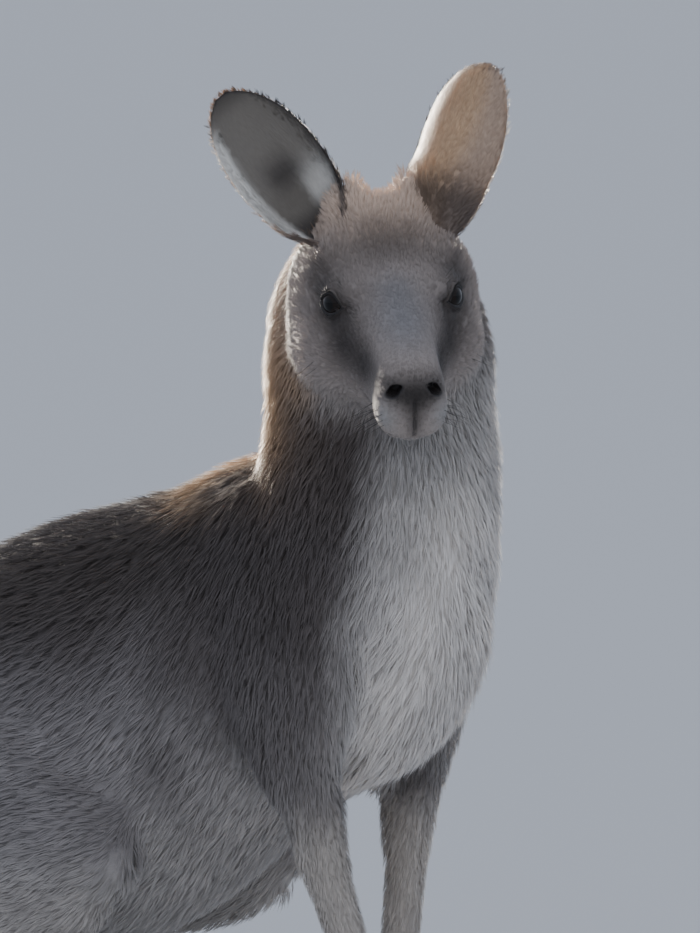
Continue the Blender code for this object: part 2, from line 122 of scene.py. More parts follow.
def to_head(points):
    """Points in the head's own axes: x to its left, y to the nape, z to the crown, from between the eyes."""
    return (points - HEAD_CENTRE) @ HEAD_TURN


def from_head(points):
    """Points in the head's axes, back in the tables' axes."""
    return np.asarray(points, float) @ HEAD_TURN.T + HEAD_CENTRE


# %% [markdown]
# ## Camera
#
# A long lens far away flattens the body, as it does for any shy animal. The camera stands ahead of
# the right shoulder and a little above it, and frames the head, the neck and the forelegs.

# %% Camera
DISTANCE = 8.0
FRAME_LENGTH = 0.6065  # what the long side of the picture spans at the animal, in metres
SENSOR = 36.0
AIM = EYE_MIDDLE + np.array([0.0545, 0.0810, -0.1162])
AZIMUTH, ELEVATION = math.radians(-50), math.radians(5)
level = math.cos(ELEVATION)
FORWARD = np.array([-math.sin(AZIMUTH) * level, math.cos(AZIMUTH) * level, -math.sin(ELEVATION)])

lens = bpy.data.cameras.new("camera")
lens.sensor_width = SENSOR
lens.lens = SENSOR * DISTANCE / FRAME_LENGTH
lens.clip_end = 200.0
camera = bpy.data.objects.new("camera", lens)
camera.location = AIM - FORWARD * DISTANCE
camera.rotation_euler = Vector(FORWARD).to_track_quat("-Z", "Y").to_euler()
bpy.context.scene.collection.objects.link(camera)
bpy.context.scene.camera = camera
print("lens", round(lens.lens), "mm, camera height", round(camera.location.z, 2), "m")

# %% [markdown]
# ## Floor and light
#
# The floor is a plain pale sheet, large enough to fill the view of a camera that stands far off. A
# broad soft light behind the animal catches the tips of the coat, as low sun does, and the pale sky
# and a weak softbox in front fill the rest. A shader on the world is cheaper than a wall all round.

# %% Floor
def finish(name, **values):
    """A material, its node tree and its shader, with the shader's own sockets set."""
    made = bpy.data.materials.new(name)
    made.use_nodes = True
    shader = made.node_tree.nodes["Principled BSDF"]
    for key, value in values.items():
        shader.inputs[key.replace("_", " ")].default_value = value
    return made, made.node_tree, shader


def from_bmesh(name, bm, materials=()):
    """An object in the scene made from a bmesh, which is used up."""
    mesh = bpy.data.meshes.new(name)
    bm.to_mesh(mesh)
    bm.free()
    for material in materials:
        mesh.materials.append(material)
    return link(bpy.data.objects.new(name, mesh))


def link(obj):
    bpy.context.scene.collection.objects.link(obj)
    return obj


REACH = 150.0
sheet = bmesh.new()
sheet.faces.new([sheet.verts.new((x * REACH, y * REACH, 0)) for x, y in ((-1, -1), (1, -1), (1, 1), (-1, 1))])
PAINT = finish("studio_floor", Base_Color=(0.62, 0.62, 0.62, 1.0), Roughness=0.9)[0]
studio_floor = from_bmesh("studio_floor", sheet, [PAINT])
studio_floor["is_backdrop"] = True
print("floor spans", 2 * REACH, "m")

# %% Light
SKY_COLOUR, SKY_STRENGTH = (0.76, 0.84, 1.0, 1.0), 0.84
world = bpy.data.worlds.new("sky")
bpy.context.scene.world = world
world.use_nodes = True
sky = world.node_tree.nodes["Background"]
sky.inputs["Color"].default_value = SKY_COLOUR
sky.inputs["Strength"].default_value = SKY_STRENGTH

# name: (way from the head, height above the eyes it aims at, distance, size, power, spread, colour)
LAMPS = {
    "back": ((0.30, 0.95, 0.17), 0.08, 3.2, 0.5, 8, 10, (1.0, 0.92, 0.80)),
    "side": ((0.95, 0.50, 0.15), -0.12, 3.2, 0.5, 4.5, 10, (1.0, 0.93, 0.82)),
    "front": ((-0.9, -0.75, 0.55), 0.0, 4.0, 2.5, 24, 180, (1.0, 0.98, 0.96)),
}


def lamp(name, towards, lift, distance, size, power, spread, colour):
    """A square soft light that faces the head."""
    data = bpy.data.lights.new(name, "AREA")
    data.size, data.energy, data.color = size, power, colour
    data.spread = math.radians(spread)
    obj = link(bpy.data.objects.new(name, data))
    way = Vector(towards).normalized()
    obj.location = Vector(EYE_MIDDLE) + way * distance + Vector((0, 0, lift))
    obj.rotation_euler = way.to_track_quat("Z", "Y").to_euler()


for name, values in LAMPS.items():
    lamp(name, *values)
print("lamps", list(LAMPS))

# %% [markdown]
# ## The body's forms
#
# An animal's body is a bundle of soft tubes: trunk, neck, head, tail and limbs. Each tube is drawn
# here as a few stations along its middle, with a half width and half height at each, and a smooth
# curve runs through them. The same tubes serve three times: they are fused into the skin, they tell
# the coat which way to lie, and they unroll the skin into a flat map, as sleeves are cut open.

# %% Stations along a tube
def smooth_rows(points, count):
    """count rows read from a smooth curve through the given rows."""
    rows = np.array(points, float)
    ends = np.vstack([2 * rows[0] - rows[1], rows, 2 * rows[-1] - rows[-2]])
    found = []
    for place in np.linspace(0, len(rows) - 1, count):
        i = min(int(place), len(rows) - 2)
        t = place - i
        a, b, c, d = ends[i : i + 4]
        bend = (2 * a - 5 * b + 4 * c - d) * t**2 + (3 * b - a - 3 * c + d) * t**3
        found.append(0.5 * (2 * b + (c - a) * t + bend))
    return np.array(found)


def unit(vectors):
    """Vectors of the same directions, one long."""
    return vectors / np.maximum(np.linalg.norm(vectors, axis=-1, keepdims=True), 1e-9)


class Tube:
    """A soft form: the line through its middle, the directions across and up, and its half sizes."""

    def __init__(self, stations, turn=None, move=None, rings=28, power=2.0, upright=False):
        rows = smooth_rows(stations, rings)
        self.power = power
        middle = rows[:, :3]
        self.half = np.maximum(rows[:, 3:5], 0.5)
        along = unit(np.gradient(middle, axis=0))
        if upright:
            along = np.tile([0.0, 1.0, 0.0], (rings, 1))
        side = np.array([1.0, 0.0, 0.0])
        across = unit(side - along * along[:, :1])
        up = np.cross(across, along)
        turn = np.eye(3) if turn is None else turn
        self.middle = middle @ turn.T + (0 if move is None else move)
        self.across, self.up = across @ turn.T, up @ turn.T
        self.along = unit(np.gradient(self.middle, axis=0))

    def mesh(self, segments=24):
        """The tube as a closed bmesh."""
        angle = 2 * math.pi * np.arange(segments) / segments
        c, s = np.cos(angle), np.sin(angle)
        x = np.sign(c) * np.abs(c) ** (2 / self.power)
        y = np.sign(s) * np.abs(s) ** (2 / self.power)
        ring = self.across[:, None] * (x[:, None] * self.half[:, None, :1])
        ring = ring + self.up[:, None] * (y[:, None] * self.half[:, None, 1:])
        bm = bmesh.new()
        loops = [[bm.verts.new(p) for p in row] for row in self.middle[:, None] + ring]
        for first, second in zip(loops, loops[1:]):
            for k in range(segments):
                bm.faces.new((first[k], first[k - 1], second[k - 1], second[k]))
        bm.faces.new(loops[0])
        bm.faces.new(loops[-1])
        bmesh.ops.recalc_face_normals(bm, faces=bm.faces)
        return bm


print("a test tube has", len(Tube([(0, 0, 0, 5, 5), (0, 9, 0, 5, 5)]).mesh().faces), "faces")

# %% Trunk, neck, tail
# (y, bottom, top, half width): chest, ribs, belly and rump, from front to back
TRUNK = [
    (-72, 304, 352, 24),
    (-52, 260, 388, 50),
    (-20, 226, 414, 66),
    (20, 208, 434, 78),
    (70, 182, 440, 88),
    (110, 153, 428, 97),
    (150, 124, 411, 105),
    (200, 98, 396, 113),
    (260, 83, 381, 117),
    (320, 81, 358, 118),
    (370, 86, 333, 112),
    (410, 90, 303, 99),
    (445, 94, 264, 82),
    (475, 99, 216, 64),
    (500, 112, 168, 44),
]
# (u, w, z, half breadth, half depth): the neck, from inside the chest up to the back of the skull
NECK_TURN = np.array(Matrix.Rotation(math.radians(-50), 3, "Z"))
NECK = [
    (-17, 14, 318, 88, 84),
    (-9, 8, 366, 86, 82),
    (-4, 9, 410, 82, 74),
    (-3, 13, 452, 79, 64),
    (-4, 16, 492, 78, 56),
    (-8, 18, 526, 71, 49),
    (-13, 19, 550, 64, 42),
    (-19, 20, 568, 53, 35),
    (-24, 21, 580, 35, 25),
    (-26, 21, 586, 15, 13),
]
TAIL = [
    (0, 415, 178, 50, 58),
    (0, 472, 150, 54, 60),
    (0, 535, 108, 48, 51),
    (0, 605, 70, 41, 43),
    (2, 690, 42, 35, 37),
    (8, 790, 30.5, 30, 32.5),
    (20, 890, 24.5, 26, 27),
    (36, 990, 21.5, 22.5, 24),
    (48, 1090, 18.5, 19, 21),
    (50, 1180, 15.5, 16, 18),
    (42, 1250, 11.5, 11, 13.5),
    (36, 1284, 7.5, 7, 8.5),
    (35, 1292, 6, 3, 4),
]


def profile(rows, **options):
    """A tube whose sections stay upright, from rows of (y, bottom, top, half width)."""
    stations = [(0, y, (low + top) / 2, half, (top - low) / 2) for y, low, top, half in rows]
    return Tube(stations, upright=True, **options)


TUBES = {
    "trunk": profile(TRUNK, power=2.15, rings=40),
    "neck": Tube(NECK, turn=NECK_TURN),
    "tail": Tube(TAIL, rings=48),
}
print("tail runs", round(float(np.linalg.norm(np.diff(TUBES["tail"].middle, axis=0), axis=1).sum())), "mm")

# %% Head
# (y, bottom, top, half width) in the head's own axes, nose to nape
SKULL = [
    (-96, -46, -20, 10),
    (-93, -60, -15, 17.5),
    (-85, -67, -10, 22.5),
    (-72, -68, -4, 23.5),
    (-56, -68, 2, 24),
    (-40, -69, 8, 28),
    (-22, -71, 14, 36),
    (-5, -75, 21, 46),
    (12, -79, 29, 56),
    (28, -80, 37, 63),
    (44, -74, 43, 64),
    (60, -60, 42, 58),
    (74, -42, 33, 46),
    (86, -22, 22, 28),
]
# swellings on each side of the skull: (centre, radii) in the head's axes
SWELLINGS = {
    "cheek": ((34, 28, -41), (32, 48, 39)),
    "jaw": ((16, -2, -45), (21, 42, 24)),
    "brow": ((26, 5, 6), (16, 27, 14)),
    "crown": ((11, 46, 34), (27, 28, 23)),
    "ear root": ((26, 51, 36), (15, 15, 28)),
    "ear foot": ((37, 27, 20), (13, 13, 16)),
    "ear brush": ((17, 52, 44), (12, 13, 26)),
}
TUBES["head"] = profile(SKULL, power=2.25, rings=40, turn=HEAD_TURN, move=HEAD_CENTRE)
print("head is", round(np.ptp([row[0] for row in SKULL])), "mm long")

# %% Forelegs
# (x, y, z, half width, half depth) for the left side: shoulder blade to elbow
SHOULDER = [
    (40, 84, 404, 24, 36),
    (55, 60, 366, 31, 54),
    (65, 38, 320, 31, 63),
    (69, 30, 272, 27, 55),
    (71, 26, 232, 22, 40),
    (69, 21, 204, 17, 27),
    (68, 20, 188, 10, 15),
]
STRIDE = 14  # the right elbow is this far behind its middle place, and the left one ahead of it
FORELEGS = {
    LEFT: [
        (67, 34, 214, 22, 27),
        (64, 35, 184, 20, 23),
        (57, 31, 150, 16, 18),
        (50, 29, 110, 14.5, 15.5),
        (41, 28, 74, 12.5, 13),
        (35, 27, 42, 13, 13),
        (34, 18, 20, 15, 13),
        (34, 5, 11, 16.5, 12.5),
        (34, -8, 8, 15, 9.5),
    ],
    RIGHT: [
        (-67, 5, 214, 21, 27),
        (-64, 2, 182, 19, 23),
        (-55, -4, 146, 16, 18),
        (-47, -12, 110, 14.5, 15.5),
        (-38, -19, 74, 12.5, 13),
        (-32, -27, 42, 13, 13),
        (-31, -37, 20, 15, 13),
        (-31, -50, 11, 16.5, 12.5),
        (-31, -63, 8, 15, 9.5),
    ],
}
PALM_FRONT = {LEFT: (34, -10, 7), RIGHT: (-31, -65, 7)}
FINGER_ANGLES = (-48, -24, 0, 24, 48)
FINGER_LENGTH, FINGER_RADIUS = 30.0, 5.4


def shoulder(side):
    """The upper arm's stations, swung forwards or back by the stride towards the elbow."""
    return [(side * x, y + side * STRIDE * (404 - z) / 200, z, w, d) for x, y, z, w, d in SHOULDER]


def fingers(side):
    """Five fingers fanned out from the front of the palm, as (root, tip) pairs."""
    found = []
    for angle in FINGER_ANGLES:
        turn = math.radians(side * angle)
        way = np.array([math.sin(turn), -math.cos(turn), -0.12])
        root = np.array(PALM_FRONT[side]) + [side * angle * 0.2, 0.10 * abs(angle), 0]
        found.append((root, root + way * FINGER_LENGTH * (1 - 0.0035 * abs(angle))))
    return found


for word, side in SIDES.items():
    TUBES[f"shoulder_{word}"] = Tube(shoulder(side))
    TUBES[f"foreleg_{word}"] = Tube(FORELEGS[side])
print("tubes so far", len(TUBES))

# %% Hind legs
THIGH = [
    (58, 452, 178, 36, 54),
    (74, 400, 200, 53, 92),
    (83, 336, 205, 57, 104),
    (88, 272, 198, 52, 93),
    (91, 214, 184, 43, 73),
    (93, 172, 172, 34, 52),
    (93, 144, 164, 21, 31),
    (93, 134, 162, 9, 13),
]
SHANK = [
    (93, 172, 158, 28, 40),
    (93, 218, 141, 31, 46),
    (94, 270, 121, 28, 38),
    (95, 330, 99, 21, 26),
    (96, 387, 79, 17, 19),
    (96, 432, 62, 16, 17),
    (96, 466, 46, 17, 20),
    (96, 484, 34, 13, 16),
]
FOOT = [
    (96, 496, 22, 10, 12),
    (96, 482, 25, 17.5, 27),
    (96, 450, 27, 19, 29),
    (97, 400, 22, 18.5, 24),
    (98, 340, 19, 19.5, 21),
    (99, 290, 17, 22, 19),
    (100, 258, 14, 21, 16),
    (101, 240, 12, 15, 12),
]
TOES = [
    [(100, 268, 15, 12, 16), (102, 236, 14, 12, 15), (104, 208, 12, 9.5, 12.5), (105, 198, 11, 5, 7)],
    [(113, 290, 12, 9, 13), (118, 256, 11, 8.5, 12), (121, 238, 10, 6.5, 10), (122, 230, 9, 4, 6)],
    [(86, 290, 12, 7.5, 13), (84, 262, 11, 7, 12), (83, 246, 10, 5.5, 9), (83, 240, 9, 3, 5)],
]


def on_side(stations, side):
    """The left side's stations, or their mirror image."""
    return [(side * row[0], *row[1:]) for row in stations]


for word, side in SIDES.items():
    TUBES[f"thigh_{word}"] = Tube(on_side(THIGH, side))
    TUBES[f"shank_{word}"] = Tube(on_side(SHANK, side))
    TUBES[f"foot_{word}"] = Tube(on_side(FOOT, side))
print("tubes", list(TUBES))

# %% [markdown]
# ## One skin
#
# Tubes that run into each other are joined by a voxel remesh, which gives one closed surface with no
# seams, and a smoothing pass then rounds the creases as flesh does. Fingers and toes are too small
# for that and are smoothed least. A Boolean union would keep every crease sharp.

# %% Draw every form
EYE_PLACE = np.array([33.5, 0.0, 0.0])  # the left eye, in the head's axes
EYE_RADIUS = 11.5
LID_FORM = 15.0  # a swelling over each eye, from which its lids are modelled


def ball(centre, radii):
    """An ellipsoid in the head's axes."""
    bm = bmesh.new()
    bmesh.ops.create_icosphere(bm, subdivisions=3, radius=1.0)
    for vertex in bm.verts:
        vertex.co = from_head(np.array(vertex.co) * radii + centre)
    return bm


def finger_mesh(root, tip):
    """A finger as a tube that narrows to its tip."""
    rows = []
    for share, thick in ((-0.4, 1.0), (0.45, 0.96), (0.9, 0.8), (1.0, 0.4)):
        rows.append((*(root + (tip - root) * share), FINGER_RADIUS * thick, FINGER_RADIUS * thick))
    return Tube(rows, rings=8).mesh(12)


def flesh_forms():
    """A closed bmesh for each tube, swelling, finger and toe."""
    forms = [tube.mesh(32 if name in ("trunk", "neck", "head") else 24) for name, tube in TUBES.items()]
    for side in SIDES.values():
        forms += [ball((side * c[0], *c[1:]), radii) for c, radii in SWELLINGS.values()]
        forms.append(ball(EYE_PLACE * FLIP[side], (LID_FORM, LID_FORM, LID_FORM)))
        forms += [finger_mesh(root, tip) for root, tip in fingers(side)]
        forms += [Tube(on_side(toe, side), rings=14).mesh(16) for toe in TOES]
    return forms


def together(forms):
    """One bmesh from several, which are used up."""
    whole = bmesh.new()
    for form in forms:
        part = bpy.data.meshes.new("form")
        form.to_mesh(part)
        form.free()
        whole.from_mesh(part)
        bpy.data.meshes.remove(part)
    return whole


print(len(SWELLINGS), "swellings and", len(TOES), "toes on each side")


# %% Tools for meshes
def modify(obj, kind, **settings):
    """Adds a modifier with these settings."""
    step = obj.modifiers.new(kind.lower(), kind)
    for key, value in settings.items():
        setattr(step, key, value)


def applied(obj):
    """Keeps what the object's modifiers made as its own mesh."""
    graph = bpy.context.evaluated_depsgraph_get()
    shown = obj.evaluated_get(graph)
    made = bpy.data.meshes.new_from_object(shown, preserve_all_data_layers=True, depsgraph=graph)
    obj.modifiers.clear()
    obj.data = made
    return obj


def read(items, name, width=1):
    """One property of every item, as an array."""
    values = np.empty(len(items) * width, np.float32)
    items.foreach_get(name, values)
    return (values.reshape(-1, width) if width > 1 else values).astype(float)


def points_of(obj):
    return read(obj.data.vertices, "co", 3)


def normals_of(obj):
    return read(obj.data.vertex_normals, "vector", 3)


def put_points(obj, points):
    obj.data.vertices.foreach_set("co", np.asarray(points, np.float32).ravel())
    obj.data.update()


def weigh(obj, name, weights):
    """A vertex group with one weight for each vertex, in steps of a hundredth."""
    group = obj.vertex_groups.new(name=name)
    steps = np.round(np.clip(weights, 0, 1), 2)
    for step in np.unique(steps):
        group.add(np.flatnonzero(steps == step).tolist(), float(step), "REPLACE")


# %% Fuse the forms
VOXEL, SMOOTHING = 3.6, 22
SMALL_PARTS = 0.06  # how much of the smoothing the paws and feet get

skin = from_bmesh("skin", together(flesh_forms()))
modify(skin, "REMESH", mode="VOXEL", voxel_size=VOXEL)
applied(skin)
x, y, z = points_of(skin).T
small = ((z < 62) & (y < 90)) | ((z < 34) & (np.abs(x) > 70))
weigh(skin, "soft", np.where(small, SMALL_PARTS, 1.0))
modify(skin, "SMOOTH", factor=0.5, iterations=SMOOTHING, vertex_group="soft")
applied(skin)
print("fused skin has", len(skin.data.polygons), "faces")

# %% [markdown]
# ## Which tube is near
#
# Each point of the skin asks every tube how near it is, counted in the tube's own radius. The nearest
# ones share the point, so that directions and depths blend smoothly from one to the next, with no
# borders to paint by hand.

# %% Shares of each tube
NAMES = list(TUBES)
BLEND = 7.0  # how quickly a tube gives way to its neighbour
TRUNK_FLOOR = 74  # below this height the trunk and the thighs are counted as FAR away
FAR = 6.0
HEAD_FLOOR, FACE_FLOOR = 420, 430  # above these heights a point may be the head's, or the face's


def nearest_on(tube, points):
    """How far along the tube each point lies, from 0 to 1, its angle round it and its distance in radii."""
    best = np.full(len(points), np.inf)
    at = np.zeros(len(points), int)
    for i, middle in enumerate(tube.middle):
        distance = ((points - middle) ** 2).sum(axis=1) / tube.half[i].mean()
        nearer = distance < best
        best[nearer], at[nearer] = distance[nearer], i
    away = points - tube.middle[at]
    forward = (away * tube.along[at]).sum(axis=1)
    x = (away * tube.across[at]).sum(axis=1)
    y = (away * tube.up[at]).sum(axis=1)
    steps = np.linalg.norm(np.diff(tube.middle, axis=0), axis=1)
    place = np.concatenate([[0], np.cumsum(steps)])
    gone = place[at] + forward
    beyond = np.abs(gone - np.clip(gone, 0, place[-1])) / tube.half[at].mean(axis=1)
    radii = np.hypot(np.hypot(x / tube.half[at, 0], y / tube.half[at, 1]), beyond)
    return np.clip(gone / place[-1], 0, 1), np.arctan2(y, x), radii, at


def tube_kind(name):
    """A tube's name without its side."""
    return name.split("_")[0]


class Places:
    """Where points lie on the tubes, and what the tubes' own values come to there."""

    def __init__(self, points):
        found = [nearest_on(tube, points) for tube in TUBES.values()]
        self.along, self.angle, self.radii, self.at = (np.array(values) for values in zip(*found))
        high = [name.startswith(("trunk", "thigh")) for name in NAMES]
        self.radii += FAR * np.outer(high, points[:, 2] < TRUNK_FLOOR)
        weights = np.exp(-BLEND * (self.radii - self.radii.min(axis=0)))
        self.share = weights / weights.sum(axis=0)

    def blend(self, tables, column):
        """One column of each tube's table of values, blended over the points."""
        total = 0
        for k, name in enumerate(NAMES):
            rows = np.array(tables[tube_kind(name)], float)
            total = total + self.share[k] * np.interp(self.along[k], rows[:, 0], rows[:, column])
        return total

    def direction(self, ways):
        """The way along the tubes, turned round where the table says -1."""
        total = 0
        for k, name in enumerate(NAMES):
            way = TUBES[name].along[self.at[k]] * ways.get(tube_kind(name), 1)
            total = total + self.share[k][:, None] * way
        return unit(total)


# %% How deep the coat is
# (share of the tube's length, depth of the coat in mm, its reach, breadth of a hair, tufts per square cm)
COAT = {
    "trunk": [
        (0, 8.5, 23, 0.64, 6.61),
        (0.35, 8, 24, 0.7, 5.35),
        (0.7, 8, 24, 0.88, 3.89),
        (1, 7, 22, 0.88, 3.89),
    ],
    "neck": [(0, 8.5, 23, 0.6, 8.36), (0.5, 7.5, 20, 0.58, 10.2), (1, 5.5, 14, 0.52, 13.6)],
    "tail": [
        (0, 7, 20, 0.85, 4.28),
        (0.3, 5, 17, 0.8, 4.47),
        (0.75, 3.5, 16, 0.75, 5.44),
        (1, 2.5, 16, 0.7, 8.75),
    ],
    "head": [
        (0, 0.5, 2.6, 0.40, 29.2),
        (0.3, 0.8, 3.8, 0.42, 30.1),
        (0.55, 1.7, 6, 0.45, 27.2),
        (1, 4, 11, 0.5, 18.5),
    ],
    "shoulder": [(0, 8, 23, 0.64, 7.19), (0.6, 6.5, 18, 0.6, 8.36), (1, 4.5, 14, 0.55, 9.72)],
    "foreleg": [
        (0, 4.5, 13, 0.55, 10.2),
        (0.4, 2.2, 9, 0.5, 13.6),
        (0.75, 1.6, 6.5, 0.5, 13.6),
        (1, 1.0, 5, 0.5, 12.6),
    ],
    "thigh": [(0, 8, 23, 0.86, 4.28), (0.5, 8, 23, 0.84, 4.47), (1, 6, 18, 0.78, 5.83)],
    "shank": [(0, 6, 17, 0.78, 5.83), (0.5, 4, 13, 0.72, 7), (1, 2.5, 10, 0.66, 8.75)],
    "foot": [(0, 2, 7, 0.62, 10.2), (0.6, 1.4, 6, 0.6, 11.7), (1, 1.0, 5, 0.6, 11.7)],
}
# these stations run up to the head and forwards to the knee, against the coat
LIE = {"neck": -1, "thigh": -1}


def bell(away, width):
    """1 where away is 0, falling smoothly on both sides."""
    return np.exp(-((away / width) ** 2))


def coat_depth(places, points):
    """The depth of the coat in mm, with the few places that no tube knows of."""
    depth = places.blend(COAT, 1)
    hx, hy, hz = to_head(points).T
    muzzle = np.clip((-38 - hy) / 20, 0, 1) * (points[:, 2] > HEAD_FLOOR)
    to_eye = np.linalg.norm(np.stack([np.abs(hx), hy, hz], 1) - EYE_PLACE, axis=1)
    throat = np.exp(-(((hy - 30) / 40) ** 2 + ((hz + 88) / 22) ** 2)) * (points[:, 2] > 400)
    toes = np.clip((22 - points[:, 2]) / 8, 0, 1)
    depth = depth * (1 - 0.4 * muzzle) + 3.0 * throat
    return depth * (1 - 0.75 * toes) * (1 - 0.85 * np.exp(-((to_eye / 19) ** 4)))


places = Places(points_of(skin))
depth = coat_depth(places, points_of(skin))
print("coat is", depth.min().round(1), "to", depth.max().round(1), "mm deep")

# %% Set the skin inside the coat
FLOOR_GAP = 0.4  # the bare soles all but touch the floor
points = points_of(skin) - normals_of(skin) * depth[:, None]
points[:, 2] = np.maximum(points[:, 2], FLOOR_GAP)
put_points(skin, points)
modify(skin, "SMOOTH", factor=0.5, iterations=2, vertex_group="soft")
modify(skin, "SUBSURF", levels=1, render_levels=1)
applied(skin)
skin.vertex_groups.clear()
print("skin has", len(skin.data.polygons), "faces before the face is modelled")

# %% [markdown]
# ## The face
#
# The lids, nostrils and lips are a few millimetres across, so the mesh is made finer round them and
# its points are moved by small functions, as a sculptor's tools would. A push swells or hollows a
# place, a groove follows a line, and the lids are laid on a ball round each eye with a slit left open.

# %% Finer mesh where the small forms are
NOSE = np.array([0.0, -86.0, -38.0])


def refine(obj, chosen):
    """Cuts in four the faces between the chosen points."""
    bm = bmesh.new()
    bm.from_mesh(obj.data)
    edges = [e for e in bm.edges if chosen[e.verts[0].index] and chosen[e.verts[1].index]]
    bmesh.ops.subdivide_edges(bm, edges=edges, cuts=1, use_grid_fill=True)
    bm.to_mesh(obj.data)
    bm.free()


def face_distances(local):
    """How far each point of the head is from the nearer eye and from the nose."""
    folded = np.abs(local * [1, 0, 0]) + local * [0, 1, 1]
    return np.linalg.norm(folded - EYE_PLACE, axis=1), np.linalg.norm(local - NOSE, axis=1)


for reach_eye, reach_nose in ((21, 30), (17, 26)):
    to_eye, to_nose = face_distances(to_head(points_of(skin)))
    high = points_of(skin)[:, 2] > HEAD_FLOOR
    refine(skin, high & ((to_eye < reach_eye) | (to_nose < reach_nose)))
print("after refining,", len(skin.data.polygons), "faces")


# %% Sculpting tools
def blob(local, centre, radii, side):
    """1 at the centre, falling smoothly to 0 past the radii."""
    centre = np.array(centre, float) * FLIP[side]
    return np.exp(-(((local - centre) / radii) ** 2).sum(axis=1))


def on_skin(path):
    """The path's points moved to the nearest place on the skin, in the head's axes."""
    places = from_head(smooth_rows(path, 5 * len(path)))
    return to_head(np.array([skin.closest_point_on_mesh(Vector(place))[1] for place in places]))


def path_distance(local, path):
    """The distance from each point to a line through the path's points."""
    best = np.full(len(local), np.inf)
    for a, b in zip(path, path[1:]):
        t = np.clip(((local - a) @ (b - a)) / ((b - a) @ (b - a)), 0, 1)
        best = np.minimum(best, np.linalg.norm(local - a - t[:, None] * (b - a), axis=1))
    return best


# (centre for the left side, radii, how far it swells, or sinks if negative), in mm
FACE_SHAPES = [
    ((20, -78, -46), (9, 14, 11), 1.6),  # fleshy upper lip
    ((0, -94, -22), (12, 10, 9), 0.6),  # tip of the nose
    ((24, -44, -22), (9, 20, 14), -2.2),  # hollow between the bridge and the cheek
    ((9, -48, 2), (7, 30, 6), 1.0),  # edge of the nasal bone
    ((30, -13, 15), (9, 12, 7), 0.7),  # bony brow above the eye
    ((30, -19, -12), (10, 8, 7), -1.4),  # tear hollow below the inner corner
    ((40, 6, -19), (12, 15, 8), 1.4),  # cheekbone
    ((0, -8, 22), (9, 22, 9), -0.8),  # shallow furrow of the forehead
]
MOUTH = [
    (0, -93, -59),
    (9, -91, -59.5),
    (17, -84, -58.5),
    (22, -72, -56.5),
    (25, -58, -54),
    (28, -44, -50),
    (31, -36, -46),
]
PHILTRUM = [(0, -97, -33), (0, -96, -44), (0, -94, -58)]
NOSTRIL = np.array([11.8, -89.0, -25.5])
NOSTRIL_TURN = math.radians(28)
NOSTRIL_HALF = (3.4, 5.6)


def nostril_distance(local, side):
    """0 in the middle of the nostril and 1 at its edge, as seen from in front."""
    x = (local[:, 0] * side - NOSTRIL[0]) * 0.85 + (local[:, 1] - NOSTRIL[1]) * 0.35
    z = local[:, 2] - NOSTRIL[2]
    u = x * math.cos(NOSTRIL_TURN) + z * math.sin(NOSTRIL_TURN)
    v = z * math.cos(NOSTRIL_TURN) - x * math.sin(NOSTRIL_TURN)
    u = u + 0.06 * v**2 * np.sign(v)
    front = np.clip((local[:, 1] + 70) / 6, 0, 10)
    return np.sqrt((u / NOSTRIL_HALF[0]) ** 2 + (v / NOSTRIL_HALF[1]) ** 2) + front


def smoothstep(low, high, values):
    """0 up to low and 1 from high on, with a smooth rise between, or a fall where low is the larger."""
    t = np.clip((values - low) / (high - low), 0, 1)
    return t * t * (3 - 2 * t)


LIP_LINES = [on_skin([(side * x, y, z) for x, y, z in MOUTH]) for side in SIDES.values()]
PHILTRUM_LINE = on_skin(PHILTRUM)
print(len(FACE_SHAPES), "pushes for each side of the face")

# %% Model the muzzle and the cheeks
local, normals = to_head(points_of(skin)), normals_of(skin) @ HEAD_TURN
head_only = smoothstep(430, 445, points_of(skin)[:, 2]) * (points_of(skin)[:, 1] < 60)
moved = local.copy()
for side in SIDES.values():
    for centre, radii, amount in FACE_SHAPES:
        share = 0.5 if centre[0] == 0 else 1.0
        moved += normals * (amount * share * head_only * blob(local, centre, radii, side))[:, None]
    mouth = path_distance(local, LIP_LINES[side < 0])
    moved -= normals * (2.0 * head_only * bell(mouth, 1.5))[:, None]
    far = nostril_distance(local, side)
    sink = 1 - smoothstep(0.55, 1.05, far)
    ring = bell(far - 1.3, 0.35) * (local[:, 1] < -70)
    inward = np.array([-side * 2.5, 7.5, 1.0])
    moved += inward * (sink * head_only)[:, None] + normals * (0.7 * ring * head_only)[:, None]
lip = path_distance(local, PHILTRUM_LINE)
moved -= normals * (1.3 * head_only * bell(lip, 1.3))[:, None]
chin = smoothstep(-58, -63, local[:, 2]) * smoothstep(-62, -82, local[:, 1])
moved += np.array([0, 3.2, 1.2]) * (chin * head_only)[:, None]
put_points(skin, from_head(moved))
print("muzzle modelled, the deepest move is", np.linalg.norm(moved - local, axis=1).max().round(1), "mm")

# %% [markdown]
# ### Lids
#
# A lid is a sheet of skin that slides over the eyeball, so it has the eyeball's own curve. Points
# near the eye are laid on a ball a little larger than the eye. Inside an almond-shaped slit they drop
# behind the eye's surface instead, and the step between the two is the rim of the lid.

# %% Lay the lids over the eyes
LID = 1.3  # thickness of a lid over the eyeball
GAZE = unit(np.array([0.80, -0.59, 0.12]))
SLIT_HALF, UPPER_LID, LOWER_LID = 9.9, 7.2, 5.8
EYE_UP = unit(np.array([0.0, 0.0, 1.0]) - GAZE * GAZE[2])
EYE_BACK = np.cross(EYE_UP, GAZE)
EYE_BACK = EYE_BACK * np.sign(EYE_BACK[1])


